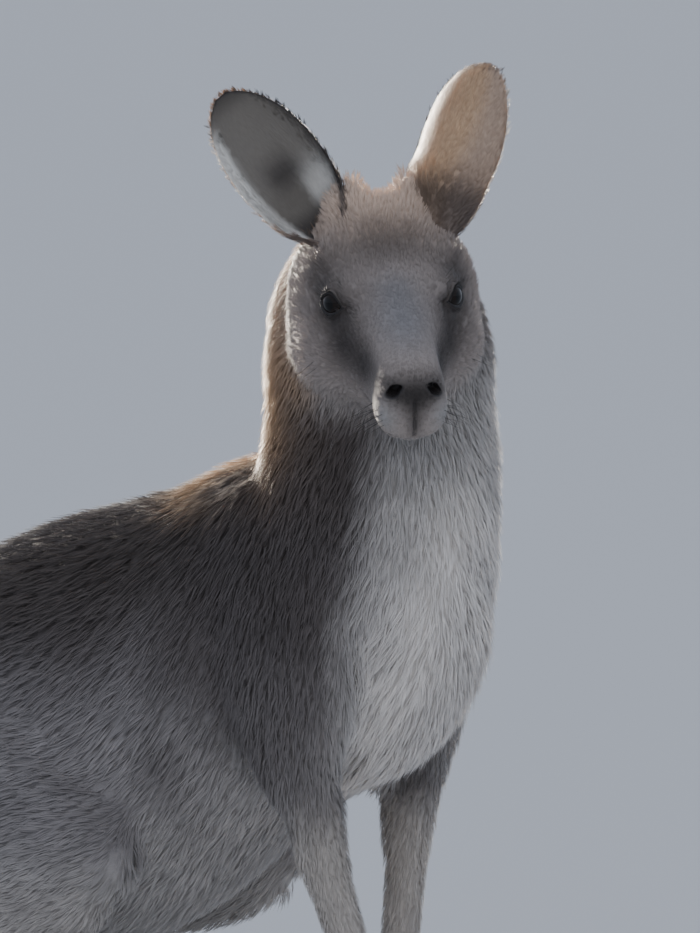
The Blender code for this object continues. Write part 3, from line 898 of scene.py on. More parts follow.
def eye_slit(local, side):
    """The distance to the slit's edge in mm, negative inside it, and where each point is round the eye."""
    away = (local - EYE_PLACE * FLIP[side]) * FLIP[side]
    radius = np.linalg.norm(away, axis=1)
    way = away / np.maximum(radius, 1e-6)[:, None]
    u = np.arctan2(way @ EYE_BACK, way @ GAZE) * EYE_RADIUS
    v = np.arctan2(way @ EYE_UP, way @ GAZE) * EYE_RADIUS
    open_by = np.where(v > 0, UPPER_LID, LOWER_LID)
    half = open_by * np.maximum(1 - (u / SLIT_HALF) ** 2, 0) ** 0.75
    past_corner = np.maximum(np.abs(u) - SLIT_HALF, 0)
    gap = np.where(past_corner > 0, np.hypot(past_corner, v), np.abs(v) - half)
    return gap, radius, away, v


local = to_head(points_of(skin))
moved = local.copy()
high = points_of(skin)[:, 2] > FACE_FLOOR
for side in SIDES.values():
    gap, radius, away, v = eye_slit(local, side)
    near = high & (radius < 24) & (away @ GAZE > -2)
    lid_ball = EYE_RADIUS + LID + 0.5 * bell(gap - 1.2, 1.0) - 0.9 * bell(gap - 3.6, 0.8) * (v > 0)
    lid_ball = lid_ball - (1 - smoothstep(-1.1, 0.0, gap)) * (LID + 2.2)
    hold = 1 - smoothstep(4.5, 11.0, gap)
    target = away * (lid_ball / np.maximum(radius, 1e-6))[:, None]
    new = (away + (target - away) * hold[:, None]) * FLIP[side] + EYE_PLACE * FLIP[side]
    moved[near] = new[near]
put_points(skin, from_head(moved))
print("lids laid on a ball of", EYE_RADIUS + LID, "mm")

# %% [markdown]
# ## Ears
#
# An ear is a leaf of cartilage rolled into a tube at its root. It is too thin for the remesh, so it
# is drawn as a grid, with an outer and an inner face joined round the rim, and then united with the
# head by a Boolean. Its three materials are only labels here: they tell the coat which side is which.

# %% Ear tables
# each ear's base in the head's axes, then its axis and the way it opens, in the body's
EARS = {
    "right": {"base": (-34, 42, 33), "axis": (-0.357, 0.526, 0.772), "opens": (-0.763, -0.64, 0.087)},
    "left": {"base": (37, 43, 35), "axis": (0.45, 0.03, 0.89), "opens": (0.98, 0.18, -0.07)},
}
EAR_LENGTH = 111.0
EAR_WALL = 1.9
EAR_COAT = 0.9  # how far the skin lies inside the ear's outline
# (share of the length, half width, half angle of the curl in degrees, lean of the axis away from the opening)
EAR_ROWS = [
    (-0.20, 9, 165, 2),
    (-0.08, 13, 150, 2),
    (0.03, 18.5, 128, 1),
    (0.14, 24.5, 104, 0),
    (0.27, 29, 84, 3),
    (0.42, 31, 70, 7),
    (0.58, 30.5, 60, 9),
    (0.74, 27, 52, 9),
    (0.87, 20.5, 46, 8),
    (0.95, 13, 40, 7),
    (1.0, 5, 34, 6),
]
EAR_STEPS = 40


def ear_axes(word):
    """The ear's base, its axis, the way it opens and the way across it."""
    ear = EARS[word]
    axis = unit(np.array(ear["axis"]))
    opens = np.array(ear["opens"])
    opens = unit(opens - axis * (opens @ axis))
    return from_head(ear["base"]), axis, opens, np.cross(axis, opens)


def ear_line(row, inner, axes):
    """One curved row of points across the ear."""
    share, half, curl, lean = row
    base, axis, opens, across = axes
    curl = math.radians(curl)
    bend = min(curl, math.pi / 2)
    radius = half / math.sin(bend)
    k = np.linspace(-1, 1, EAR_STEPS + 1)
    wall = EAR_WALL * (1 - 0.45 * max(share, 0)) * (1 - 0.5 * np.abs(k) ** 4)
    folds = 1.3 * bell(k - 0.38, 0.10) + bell(k + 0.30, 0.09)
    fade = math.sin(math.pi * min(max(share + 0.1, 0), 1)) ** 2
    r = radius - EAR_COAT - (wall + folds * fade if inner else 0)
    edge = 1 - 0.012 * np.abs(k) ** 6
    x = r * np.sin(curl * k * edge)
    y = r * np.cos(curl * k * edge) - radius * math.cos(bend) * 0.55 - lean
    return base + axis * (share * EAR_LENGTH) + across * x[:, None] - opens * y[:, None]


def ear_mesh(word):
    """The ear as a closed shell, whose material numbers say which side is which."""
    axes = ear_axes(word)
    rows = smooth_rows(EAR_ROWS, 56)
    bm = bmesh.new()
    outer = [[bm.verts.new(p) for p in ear_line(row, False, axes)] for row in rows]
    inner = [[bm.verts.new(p) for p in ear_line(row, True, axes)] for row in rows]
    for label, face_rows in ((1, outer), (2, inner)):
        for a, b in zip(face_rows, face_rows[1:]):
            for k in range(EAR_STEPS):
                bm.faces.new((a[k], a[k + 1], b[k + 1], b[k])).material_index = label
    for k in (0, EAR_STEPS):
        for a, b, c, d in zip(outer, outer[1:], inner[1:], inner):
            bm.faces.new((a[k], b[k], c[k], d[k])).material_index = 1
    for end in (0, -1):
        for k in range(EAR_STEPS):
            quad = (outer[end][k], outer[end][k + 1], inner[end][k + 1], inner[end][k])
            bm.faces.new(quad).material_index = 1
    bmesh.ops.recalc_face_normals(bm, faces=bm.faces)
    return bm


LABELS = [bpy.data.materials.new(name) for name in ("body", "ear_outside", "ear_inside")]
for label in LABELS:
    skin.data.materials.append(label)
for word in SIDES:
    shell = from_bmesh(f"ear_{word}", ear_mesh(word), LABELS)
    modify(skin, "BOOLEAN", operation="UNION", solver="MANIFOLD", object=shell)
    applied(skin)
    bpy.data.objects.remove(shell)
label_of = read(skin.data.polygons, "material_index")
print("ears joined:", [int((label_of == k).sum()) for k in range(3)], "faces by label")

# %% [markdown]
# ## Fewer faces where the coat hides them
#
# The body's skin is smooth and covered in hair, so it needs far fewer faces than the face, the ears
# and the paws. The decimate modifier takes a vertex group that says where it may save.

# %% Thin out the plain parts
SKIN_TRIANGLES = 150_000


def triangle_count(obj):
    return sum(len(face.vertices) - 2 for face in obj.data.polygons)


points = points_of(skin)
to_eye, to_nose = face_distances(to_head(points))
face_near = np.minimum(to_eye / 26, to_nose / 36)
x, y, z = points.T
plain = np.where((y < 100) & (z < 200), 0.93, 0.98)
plain = np.where(z > HEAD_FLOOR, 0.2 + smoothstep(0.9, 2.2, face_near) * 0.72, plain)
plain = np.where((y < 100) & (z < 50), 0.5, plain)
plain = np.where((z < 46) & (np.abs(x) > 70) & (y > 150), 0.85, plain)
weigh(skin, "plain", plain)
ratio = SKIN_TRIANGLES / triangle_count(skin)
modify(skin, "DECIMATE", ratio=ratio, vertex_group="plain", vertex_group_factor=1.0)
applied(skin)
skin.vertex_groups.clear()
label_of = read(skin.data.polygons, "material_index")
print("thinned to", len(skin.data.polygons), "faces;", [int((label_of == k).sum()) for k in range(3)])

# %% [markdown]
# ## Markings
#
# An eastern grey is brown-grey above and pale below, with a grey bridge between dark patches that run
# down from the eyes, pale lips, and black on the paws and the end of the tail. Part of the colour is
# painted light: warm sunlight on the nape, the withers, the crown and the backs of the ears, and
# painted shade in the folds of the throat and the shoulder, along the right flank, in the hollows of
# the face and deep in the ears. The skin and each hair take their colour from one function, stored
# as a named attribute on the skin. A hair carries away the colour of the place where it grows, so
# both always agree.

# %% Colours of the coat
TONES = {
    "back": (0.066, 0.055, 0.050),
    "flank": (0.118, 0.104, 0.102),
    "low": (0.270, 0.252, 0.250),
    "belly": (0.50, 0.475, 0.455),
    "chest": (0.80, 0.76, 0.72),
    # dark: also the colour of the painted shade in the folds and along the right shoulder
    "dark": (0.086, 0.074, 0.072),
    "limb": (0.47, 0.43, 0.39),
    # warm colour of fur lit from behind, painted on the nape, the withers and the backs of the ears
    "sunlit_ochre": (0.54, 0.33, 0.165),
    "face": (0.325, 0.280, 0.255),
    "bridge": (0.182, 0.180, 0.190),
    # patch: near black, laid as painted shade in the hollows of the face and the cups of the ears, and as
    # dark marks elsewhere
    "patch": (0.036, 0.031, 0.030),
    "pale": (0.70, 0.68, 0.64),
    # crown: a pale warm tone of painted sunlight
    "crown": (0.74, 0.55, 0.42),
    "black": (0.014, 0.012, 0.012),
    "paw": (0.060, 0.050, 0.045),
    "ear": (0.42, 0.31, 0.235),
    "ear_inside": (0.165, 0.150, 0.132),
    "lip": (0.290, 0.285, 0.280),
}


def over(colours, tone, share):
    """The colours with a tone laid over them by its share at each point."""
    return colours + (np.array(TONES[tone]) - colours) * np.clip(share, 0, 1)[:, None]


# (tone, centre for the left side in the head's axes, radii, strength)
FACE_MARKS = [
    # a pale warm crown: painted sunlight on the top of the head
    ("crown", (0, 42, 46), (40, 20, 26), 1.0),
    # dark patches from the eyes down the sides of the muzzle: darker fur round the eyes, deepened with
    # painted shade in the hollows below the eyes and beside the bridge
    ("patch", (42, 12, 10), (12, 20, 14), 0.7),
    ("patch", (35, -6, -4), (19, 24, 19), 1.0),
    ("patch", (30, -18, -22), (14, 24, 18), 1.0),
    ("patch", (24, -42, -28), (9, 22, 16), 0.9),
    ("patch", (23, -66, -24), (8, 22, 9), 0.6),
    ("bridge", (0, -46, 4), (17, 34, 17), 1.0),
    ("bridge", (0, -22, 16), (13, 16, 10), 0.6),
    ("black", (12, -92, -25), (13, 13, 10), 0.95),
    ("black", (0, -96, -29), (11, 12, 13), 1.0),
    ("black", (0, -97, -48), (5, 10, 12), 0.7),
    ("patch", (0, 14, 32), (40, 15, 18), 0.6),
    ("lip", (18, -84, -44), (7, 16, 9), 0.9),
    ("lip", (14, -58, -70), (20, 34, 9), 0.7),
]
# (tone, width in mm, strength, path on the body)
STREAKS = [
    # the three dark streaks, on the right side only, are painted shade: behind and in front of the shoulder
    # and in front of the knee
    ("dark", 26, 0.75, [(-63, 60, 440), (-80, 66, 390), (-88, 84, 338), (-86, 71, 280), (-80, 51, 229)]),
    ("dark", 24, 0.7, [(-72, 20, 420), (-74, 14, 380), (-70, 10, 340)]),
    ("low", 14, 0.6, [(-102, 122, 330), (-104, 136, 290), (-100, 140, 247), (-88, 119, 205)]),
    ("chest", 30, 0.9, [(-2, -72, 400), (-14, -70, 368), (-36, -60, 310), (-36, -30, 262), (-17, -1, 220)]),
    ("chest", 34, 0.7, [(14, -72, 380), (10, -70, 330), (0, -52, 280), (0, -10, 226)]),
    # painted shade between the belly and the knee
    ("dark", 20, 0.6, [(-87, 112, 235), (-78, 100, 195), (-60, 100, 165)]),
]
# folds of the throat and the shoulder, where hair is pressed short and painted shade darkens the coat
SHADED_FOLDS = [
    [(-57, -43, 382), (-46, -53, 373), (-34, -62, 365)],
    [(-16, -67, 374), (-2, -70, 371), (18, -68, 365)],
    [(-88, 87, 338), (-86, 71, 280), (-80, 51, 229), (-80, 17, 192)],
]


def from_path(points, path):
    """The distance to a smooth curve through a few points."""
    return path_distance(points, smooth_rows(path, 5 * len(path)))


def ear_shares(points, word):
    """Place along the ear, 0 to 1 at its tip; nearness to its edge, 0 to 1; place across it in mm."""
    base, axis, _, across = ear_axes(word)
    away = points - base
    share = away @ axis / EAR_LENGTH
    rows = np.array(EAR_ROWS)
    half = np.interp(share, rows[:, 0], rows[:, 1])
    edge = np.abs(away @ across) / np.maximum(half, 1)
    return share, np.clip(edge, 0, 1.2), away @ across


# %% Marks of the body
def body_marks(points, normals, part):
    """(tone, share at each point) from the undermost layer up; part holds each kind of tube's share."""
    y, z = points[:, 1], points[:, 2]
    ahead, above = normals[:, 1], normals[:, 2]
    body = part["trunk"] + part["thigh"] + part["shank"]
    upper = smoothstep(-0.05, 0.6, above) * (1 - 0.85 * part["thigh"])
    front = smoothstep(-0.42, -0.74, ahead) * (part["neck"] + part["trunk"] * (y < 60))
    # painted sunlight: the nape and the withers, which face the light from behind, are painted warm
    nape = part["neck"] * smoothstep(-0.1, 0.6, ahead) * smoothstep(380, 440, z)
    sunlit_withers = bell(y - 96, 52) * smoothstep(384, 414, z) * (part["trunk"] + part["neck"])
    legs = part["foreleg"] + part["shank"] * 0.6
    toes = part["foot"] * smoothstep(330, 250, y)
    layers = [
        ("back", upper * 0.95),
        ("low", body * smoothstep(325, 235, z) * smoothstep(0.8, 0.3, above) * 0.85),
        ("belly", smoothstep(0.15, -0.75, above) * 0.8),
        ("dark", part["neck"] * smoothstep(-0.74, -0.42, ahead) * 0.5),
        ("belly", front * 0.9 * smoothstep(530, 480, z)),
        ("sunlit_ochre", np.maximum(nape * 0.8, sunlit_withers * 0.9)),
        ("limb", legs * smoothstep(225, 195, z) * 0.9),
        ("paw", part["foreleg"] * smoothstep(62, 26, z)),
        ("paw", part["foot"] * 0.55 + toes * 0.4),
        ("back", part["tail"] * smoothstep(-0.3, 0.8, above) * 0.8),
        ("black", part["tail"] * smoothstep(960, 1190, y) * 0.9),
    ]
    # painted shade along the folds
    layers += [("dark", 0.85 * bell(from_path(points, path), 7)) for path in SHADED_FOLDS]
    for tone, width, strength, path in STREAKS:
        layers.append((tone, strength * bell(from_path(points, path), width)))
    return layers


# %% Marks of the head and the ears
def face_marks(points, head):
    """The same for the head, from its share at each point."""
    local = to_head(points)
    head = head * (points[:, 2] > HEAD_FLOOR)
    layers = [("face", head * 0.9)]
    for side in SIDES.values():
        for tone, centre, radii, strength in FACE_MARKS:
            share = strength * (0.6 if centre[0] == 0 else 1.0)  # a middle mark is laid on twice
            layers.append((tone, share * head * blob(local, centre, radii, side)))
    return layers


def ear_marks(points, word, outer, inner):
    """The same for one ear, from what is outside and inside it."""
    share, edge, across = ear_shares(points, word)
    trailing = across > 0
    rim = (outer + inner) * smoothstep(0.82, 0.96, edge)
    root = inner * 0.85 * bell(share - 0.24, 0.13) * smoothstep(0.1, 0.35, edge)
    spot = inner * 0.8 * bell(share - 0.43, 0.10) * smoothstep(0.6, 0.1, edge)
    fringe = 0.95 * inner * smoothstep(0.64, 0.80, edge)
    return [
        ("ear", outer),
        # painted sunlight on the middle of the ear's back
        ("sunlit_ochre", outer * 0.5 * smoothstep(0.75, 0.2, edge)),
        ("dark", outer * 0.75 * smoothstep(0.26, 0.06, share)),
        ("ear_inside", inner),
        ("pale", root * trailing),
        # painted shade deep in the ear's cup: at its root and in a spot in its middle
        ("patch", inner * 0.9 * smoothstep(0.24, 0.06, share)),
        ("patch", spot),
        ("patch", 0.85 * rim * trailing),
        ("pale", fringe * ~trailing * smoothstep(0.9, 0.75, share)),
        ("patch", (outer + inner) * 0.5 * smoothstep(0.86, 1.0, share)),
    ]


def markings(points, normals, places, outside, inside):
    """The coat's colour at each point of the skin."""
    kinds = np.array([tube_kind(name) for name in NAMES])
    part = {kind: places.share[kinds == kind].sum(axis=0) for kind in COAT}
    layers = [("flank", np.ones(len(points)))] + body_marks(points, normals, part)
    layers += face_marks(points, part["head"])
    for word in SIDES:
        layers += ear_marks(points, word, outside[word], inside[word])
    colours = np.zeros((len(points), 3))
    for tone, share in layers:
        colours = over(colours, tone, share)
    return colours


# %% Bare skin
def bareness(points):
    """1 on naked skin: the nostrils, the lips' edges, the rims of the lids and the soles."""
    local = to_head(points)
    head = points[:, 2] > FACE_FLOOR
    bare = head * smoothstep(1.9, 0.8, path_distance(local, PHILTRUM_LINE)) * 0.9
    for side in SIDES.values():
        gap, radius, away, _ = eye_slit(local, side)
        rim = (radius < 16) * (away @ GAZE > -2) * smoothstep(1.5, 0.9, gap)
        nostril = smoothstep(1.35, 1.0, nostril_distance(local, side))
        lip = smoothstep(2.2, 1.0, path_distance(local, LIP_LINES[side < 0]))
        bare = np.max([bare, head * rim, head * nostril, head * lip], axis=0)
    return np.maximum(bare, points[:, 2] < 1.5)


print(len(TONES), "tones,", len(FACE_MARKS), "marks for each side of the face")

# %% Read the finished skin
points, normals = points_of(skin), normals_of(skin)
places = Places(points)
faces = skin.data.polygons
corner_point = read(skin.data.loops, "vertex_index").astype(int)
label_of = read(faces, "material_index").astype(int)
corner_face = np.repeat(np.arange(len(faces)), read(faces, "loop_total").astype(int))
ear_side = np.where(to_head(points)[:, 0] > 0, LEFT, RIGHT)
outside, inside = {}, {}
for label, found in ((1, outside), (2, inside)):
    touched = np.zeros(len(points))
    np.maximum.at(touched, corner_point, (label_of[corner_face] == label).astype(float))
    for word, side in SIDES.items():
        found[word] = touched * (ear_side == side)
bare = bareness(points)
marks = markings(points, normals, places, outside, inside)
marks = over(marks, "black", bare * 0.92)
print("skin has", len(points), "points; bare share", bare.mean().round(3))

# %% [markdown]
# ## Unroll the skin
#
# A flat map of the skin gives each hair an address. Every tube is cut open along its length and laid
# out flat in a rectangle of its own: the angle round it runs across, and the place along it runs up.
# Unlike a view from one side, no two parts of the skin share a place on such a map.

# %% A flat map of the skin
# (left, bottom, right, top) of each rectangle
CHARTS = {
    "trunk": (0.00, 0.00, 0.64, 0.40),
    "neck": (0.66, 0.00, 0.99, 0.19),
    "head": (0.66, 0.21, 0.99, 0.40),
    "tail": (0.00, 0.42, 0.99, 0.58),
    "thigh_left": (0.00, 0.60, 0.23, 0.79),
    "thigh_right": (0.25, 0.60, 0.48, 0.79),
    "foreleg_left": (0.50, 0.60, 0.60, 0.79),
    "foreleg_right": (0.62, 0.60, 0.72, 0.79),
    "shoulder_left": (0.74, 0.60, 0.86, 0.79),
    "shoulder_right": (0.88, 0.60, 0.99, 0.79),
    "shank_left": (0.00, 0.81, 0.14, 0.99),
    "shank_right": (0.16, 0.81, 0.30, 0.99),
    "foot_left": (0.32, 0.81, 0.42, 0.99),
    "foot_right": (0.44, 0.81, 0.54, 0.99),
    "outside_left": (0.56, 0.81, 0.66, 0.99),
    "outside_right": (0.68, 0.81, 0.77, 0.99),
    "inside_left": (0.79, 0.81, 0.88, 0.99),
    "inside_right": (0.90, 0.81, 0.99, 0.99),
}
first_corner = read(faces, "loop_start").astype(int)
corner_count = read(faces, "loop_total").astype(int)


def face_mean(values):
    """The mean over each face's corners of a value that is known at the points."""
    return np.add.reduceat(values[corner_point], first_corner) / corner_count


face_tube = np.array([face_mean(row) for row in places.radii]).argmin(axis=0)
face_middle = read(faces, "center", 3)
face_ear = np.where(to_head(face_middle)[:, 0] > 0, LEFT, RIGHT)


def in_chart(name, across, along):
    """Places on the map from shares of the rectangle's width and height."""
    left, bottom, right, top = CHARTS[name]
    if name == "tail":
        across, along = along, across
    return np.stack([left + (right - left) * across, bottom + (top - bottom) * along], 1)


unrolled = np.zeros((len(corner_point), 2))
for k, name in enumerate(NAMES):
    mine = (face_tube == k)[corner_face]
    angle = places.angle[k][corner_point]
    start = places.angle[k][corner_point[first_corner]][corner_face]
    angle = start + (angle - start + math.pi) % (2 * math.pi) - math.pi
    across = np.clip(angle / (2 * math.pi) + 0.5, 0, 1)
    unrolled[mine] = in_chart(name, across, places.along[k][corner_point])[mine]
for word, side in SIDES.items():
    share, edge, offset = ear_shares(points, word)
    across = np.clip(0.5 + 0.4 * edge * np.sign(offset), 0, 1)
    along = np.clip(share * 0.8 + 0.18, 0, 1)
    for label, face_of_ear in ((1, "outside"), (2, "inside")):
        mine = ((label_of == label) & (face_ear == side))[corner_face]
        unrolled[mine] = in_chart(f"{face_of_ear}_{word}", across[corner_point], along[corner_point])[mine]
print("map covers", unrolled.min(axis=0).round(3), "to", unrolled.max(axis=0).round(3))

# %% [markdown]
# ## The lie of the coat
#
# Hair lies from the nose over the head and back along the body, and down each limb. That is the way
# the tubes run, so their directions, blended, give the lie, and gravity adds a little down the sides.
# Depth, reach, breadth and number come from the coat's table in the same way, and the ears and the
# face get their own short hair.

# %% Directions, lengths and numbers of hairs
COMB = 60  # strokes that even out the lie where two tubes meet
# depth, reach, breadth and number of the ears' hair, then of the fringe inside their edge
EAR_HAIR = {"outside": (1.3, 7.5, 0.5, 19), "inside": (1.4, 6.0, 0.35, 0.0)}
FRINGE_HAIR = (1.0, 5.5, 0.3, 42)
lie = places.direction(LIE)
HANGING = ("trunk", "neck", "thigh")
falling = sum(places.share[k] for k, name in enumerate(NAMES) if tube_kind(name) in HANGING)
lie = unit(lie + np.array([0, 0, -0.55]) * falling[:, None])
first_end, second_end = read(skin.data.edges, "vertices", 2).astype(int).T
for _ in range(COMB):
    total = lie.copy()
    for a, b in ((first_end, second_end), (second_end, first_end)):
        total += np.stack([np.bincount(a, lie[b, k], len(lie)) for k in range(3)], 1)
    lie = unit(total)
depth = np.maximum(coat_depth(places, points), 0.35)
reach, breadth, number = (places.blend(COAT, column) for column in (2, 3, 4))
reach = np.minimum(reach, np.maximum(2.6 * depth, 1.6) + 4.5)
for word in SIDES:
    _, axis, _, across = ear_axes(word)
    share, edge, offset = ear_shares(points, word)
    sideways = np.sign(offset)[:, None] * across
    for face, on, spread in (("outside", outside[word] > 0.5, 0.35), ("inside", inside[word] > 0.5, 0.5)):
        lie[on] = unit(axis + spread * edge[:, None] * sideways)[on]
        depth[on], reach[on], breadth[on], number[on] = EAR_HAIR[face]
    fringe = inside[word] * smoothstep(0.72, 0.93, edge)
    fringe = fringe * smoothstep(0.02, 0.1, share) * smoothstep(0.95, 0.8, share)
    on = fringe > 0
    depth[on], reach[on], breadth[on], number[on] = FRINGE_HAIR
    number[on] *= fringe[on]
    low = (outside[word] > 0.5) & (share < 0.25)
    depth[low], reach[low] = 3.0, 8.0
number = number * (1 - smoothstep(0.25, 0.6, bare)) * (points[:, 2] > 3.0)
crease = np.min([from_path(points, path) for path in SHADED_FOLDS], axis=0)
pressed = 1 - 0.65 * bell(crease, 11)
reach, depth = reach * pressed, depth * pressed
print("hair reaches", reach.min().round(1), "to", reach.max().round(1), "mm")


# %% Share the coat out in pieces
# name: (the tubes it covers, its slot's name in the record)
COAT_PIECES = {
    "coat_face": (("head",), "head_coat"),
    "coat_ears": (("ears",), "ear_coat"),
    "coat_neck": (("neck",), "neck_coat"),
    "coat_trunk": (("trunk",), "flank_coat"),
    "coat_shoulders": (("shoulder",), "upper_arm_coat"),
    "coat_forelegs": (("foreleg",), "forearm_coat"),
    "coat_thighs": (("thigh",), "thigh_coat"),
    "coat_shanks": (("shank",), "shank_coat"),
    "coat_feet": (("foot",), "hind_foot_coat"),
    "coat_tail": (("tail",), "tail_coat"),
}
MOST_TUFTS = 7600  # in one piece
tube_word = np.array([tube_kind(name) for name in NAMES])[face_tube]
tube_word = np.where(label_of > 0, "ears", tube_word)
expected = read(faces, "area") / 100 * face_mean(number)  # tufts on each face
piece_of = np.full(len(faces), -1)
pieces = []
for name, (tubes, slot) in COAT_PIECES.items():
    mine = np.isin(tube_word, tubes)
    order = np.flatnonzero(mine)[np.argsort(face_middle[mine][:, 1])]
    strips = max(1, math.ceil(expected[mine].sum() / MOST_TUFTS))
    cut = (np.cumsum(expected[order]) / expected[mine].sum() * strips).astype(int)
    cut = np.minimum(cut, strips - 1)
    for strip in range(strips):
        piece_of[order[cut == strip]] = len(pieces)
        pieces.append((name if strips == 1 else f"{name}_{strip + 1}", slot))
        print(pieces[-1][0], round(expected[order[cut == strip]].sum()), "tufts")
print("tufts in all:", round(expected.sum()))


# %% Store everything on the skin
VALUE_KEYS = {
    "FLOAT": "value",
    "INT": "value",
    "FLOAT_VECTOR": "vector",
    "FLOAT2": "vector",
    "FLOAT_COLOR": "color",
}


def store(obj, name, values, kind, domain="POINT"):
    """A named attribute, for the coat's nodes and for materials to read."""
    attribute = obj.data.attributes.new(name, kind, domain)
    flat = np.asarray(values, np.int32 if kind == "INT" else np.float32).ravel()
    attribute.data.foreach_set(VALUE_KEYS[kind], flat)


def in_frame(local):
    """Points of the frame, in metres, from points in the head's axes."""
    return from_head(local) * MM + SHIFT


def into_frame(obj):
    """Moves a finished mesh from the tables' millimetres to its place in the frame."""
    obj.data.transform(Matrix.Translation(Vector(SHIFT)) @ Matrix.Scale(MM, 4))
    obj.data.shade_smooth()


PER_SQUARE_METRE = 1e4  # square centimetres in one
store(skin, "lie", lie, "FLOAT_VECTOR")
store(skin, "hair", np.stack([breadth, reach, depth], 1) * MM, "FLOAT_VECTOR")
store(skin, "tufts", number * PER_SQUARE_METRE, "FLOAT")
store(skin, "bare", bare, "FLOAT")
store(skin, "marking", np.hstack([marks, np.ones((len(marks), 1))]), "FLOAT_COLOR")
store(skin, "coat_piece", piece_of, "INT", "FACE")
store(skin, "unroll", unrolled, "FLOAT2", "CORNER")
into_frame(skin)
print("skin is in the frame, from", [round(v, 3) for v in points_of(skin).min(axis=0)])

# %% [markdown]
# ## One tuft
#
# Nobody models two hundred thousand hairs one by one. A tuft of four is drawn once, in a few forms,
# one unit wide, long and high, so that its scale gives the hair's breadth, reach and depth. A hair is
# a closed spindle of six faces: a root under the skin, a three-sided waist and a point.

# %% Draw the tufts
HAIRS, FORMS = 4, 6
ALONG = {"root": 0.0, "waist": 0.45, "tip": 1.0}
ROOT_DEPTH = 0.12


def tuft_form(number):
    """A tuft with its roots at the origin, its hairs running along +Y and rising towards +Z."""
    chance = np.random.default_rng(40 + number)
    bm = bmesh.new()
    along = bm.verts.layers.float.new("along")
    patch = bm.loops.layers.float_vector.new("patch")
    for k in range(HAIRS):
        spot = (k - (HAIRS - 1) / 2) * 1.15 + chance.uniform(-0.3, 0.3)
        tip = spot * chance.uniform(0.2, 1.3) + chance.uniform(-0.9, 0.9)
        start = chance.uniform(-0.12, 0.12)
        length = chance.uniform(0.72, 1.05)
        height = chance.uniform(0.55, 1.0)
        wide = chance.uniform(0.8, 1.15) / 2
        waist = Vector((spot * 0.6 + tip * 0.4, start + 0.42 * length, 0.60 * height))
        root = bm.verts.new((spot, start, -ROOT_DEPTH))
        steps = ((-wide, 0, -0.03), (wide, 0, -0.03), (0, 0, 0.01))
        ring = [bm.verts.new(waist + Vector(step)) for step in steps]
        point = bm.verts.new((tip, start + length, height))
        for verts, name in (([root], "root"), (ring, "waist"), ([point], "tip")):
            for vert in verts:
                vert[along] = ALONG[name]
        for a, b in zip(ring, ring[1:] + ring[:1]):
            for face in (bm.faces.new((a, b, point)), bm.faces.new((b, a, root))):
                face.smooth = True
                for loop in face.loops:
                    side = (0.5 + k + 0.4 * (loop.vert.co.x - waist.x) / wide) / HAIRS - 0.5
                    loop[patch] = (side, loop.vert[along] - 0.5, 0.0)
        for edge in ring[0].link_edges[:] + ring[1].link_edges[:]:
            edge.smooth = edge.other_vert(ring[2]) is not None
    bmesh.ops.recalc_face_normals(bm, faces=bm.faces)
    mesh = bpy.data.meshes.new(f"tuft_{number}")
    bm.to_mesh(mesh)
    bm.free()
    return bpy.data.objects.new(f"tuft_{number}", mesh)


tufts = bpy.data.collections.new("tufts")
for form in range(FORMS):
    tufts.objects.link(tuft_form(form))

# %% [markdown]
# ## Grow the coat
#
# Geometry Nodes scatter the tufts over the skin. Each point reads the attributes stored there, turns
# its tuft so that it stands on the skin and points along the lie, and scales it. Last, the tufts are
# made real, and each gets a small patch of the flat map at its root's address, so that colours can be
# baked. Hair curves would look as good here, but they don't survive the trip to other programs.

# %% Tools for nodes
def add(tree, kind, settings=None, **links):
    """A node with its settings, its inputs set to values or linked from other nodes' outputs."""
    node = tree.nodes.new(kind)
    for key, value in (settings or {}).items():
        setattr(node, key, value)
    for key, value in links.items():
        socket = node.inputs[int(key[1:]) if key[1:].isdigit() else key.replace("_", " ")]
        if isinstance(value, bpy.types.NodeSocket):
            tree.links.new(value, socket)
        else:
            socket.default_value = value
    return node


def named(tree, name, kind):
    """An attribute of the skin, in the coat's nodes."""
    return add(tree, "GeometryNodeInputNamedAttribute", {"data_type": kind}, Name=name).outputs[0]


def maths(tree, operation, first, second):
    return add(tree, "ShaderNodeMath", {"operation": operation}, i0=first, i1=second).outputs[0]


def vector_maths(tree, operation, first, **second):
    return add(tree, "ShaderNodeVectorMath", {"operation": operation}, i0=first, **second).outputs[0]


def vector(tree, **parts):
    return add(tree, "ShaderNodeCombineXYZ", None, **parts).outputs[0]


def chance(tree, low, high, seed):
    """A random number for each tuft."""
    return add(tree, "FunctionNodeRandomValue", {"data_type": "FLOAT"}, i2=low, i3=high, i8=seed).outputs[1]


# %% The coat's node tree
INPUTS = {
    "Tufts": "NodeSocketCollection",
    "Piece": "NodeSocketInt",
    "Seed": "NodeSocketInt",
    "Swirl": "NodeSocketFloat",
    "Patch": "NodeSocketFloat",
    "Hair": "NodeSocketMaterial",
}
SPARE = ("lie", "hair", "tufts", "coat_piece", "bare", "unroll", "patch")


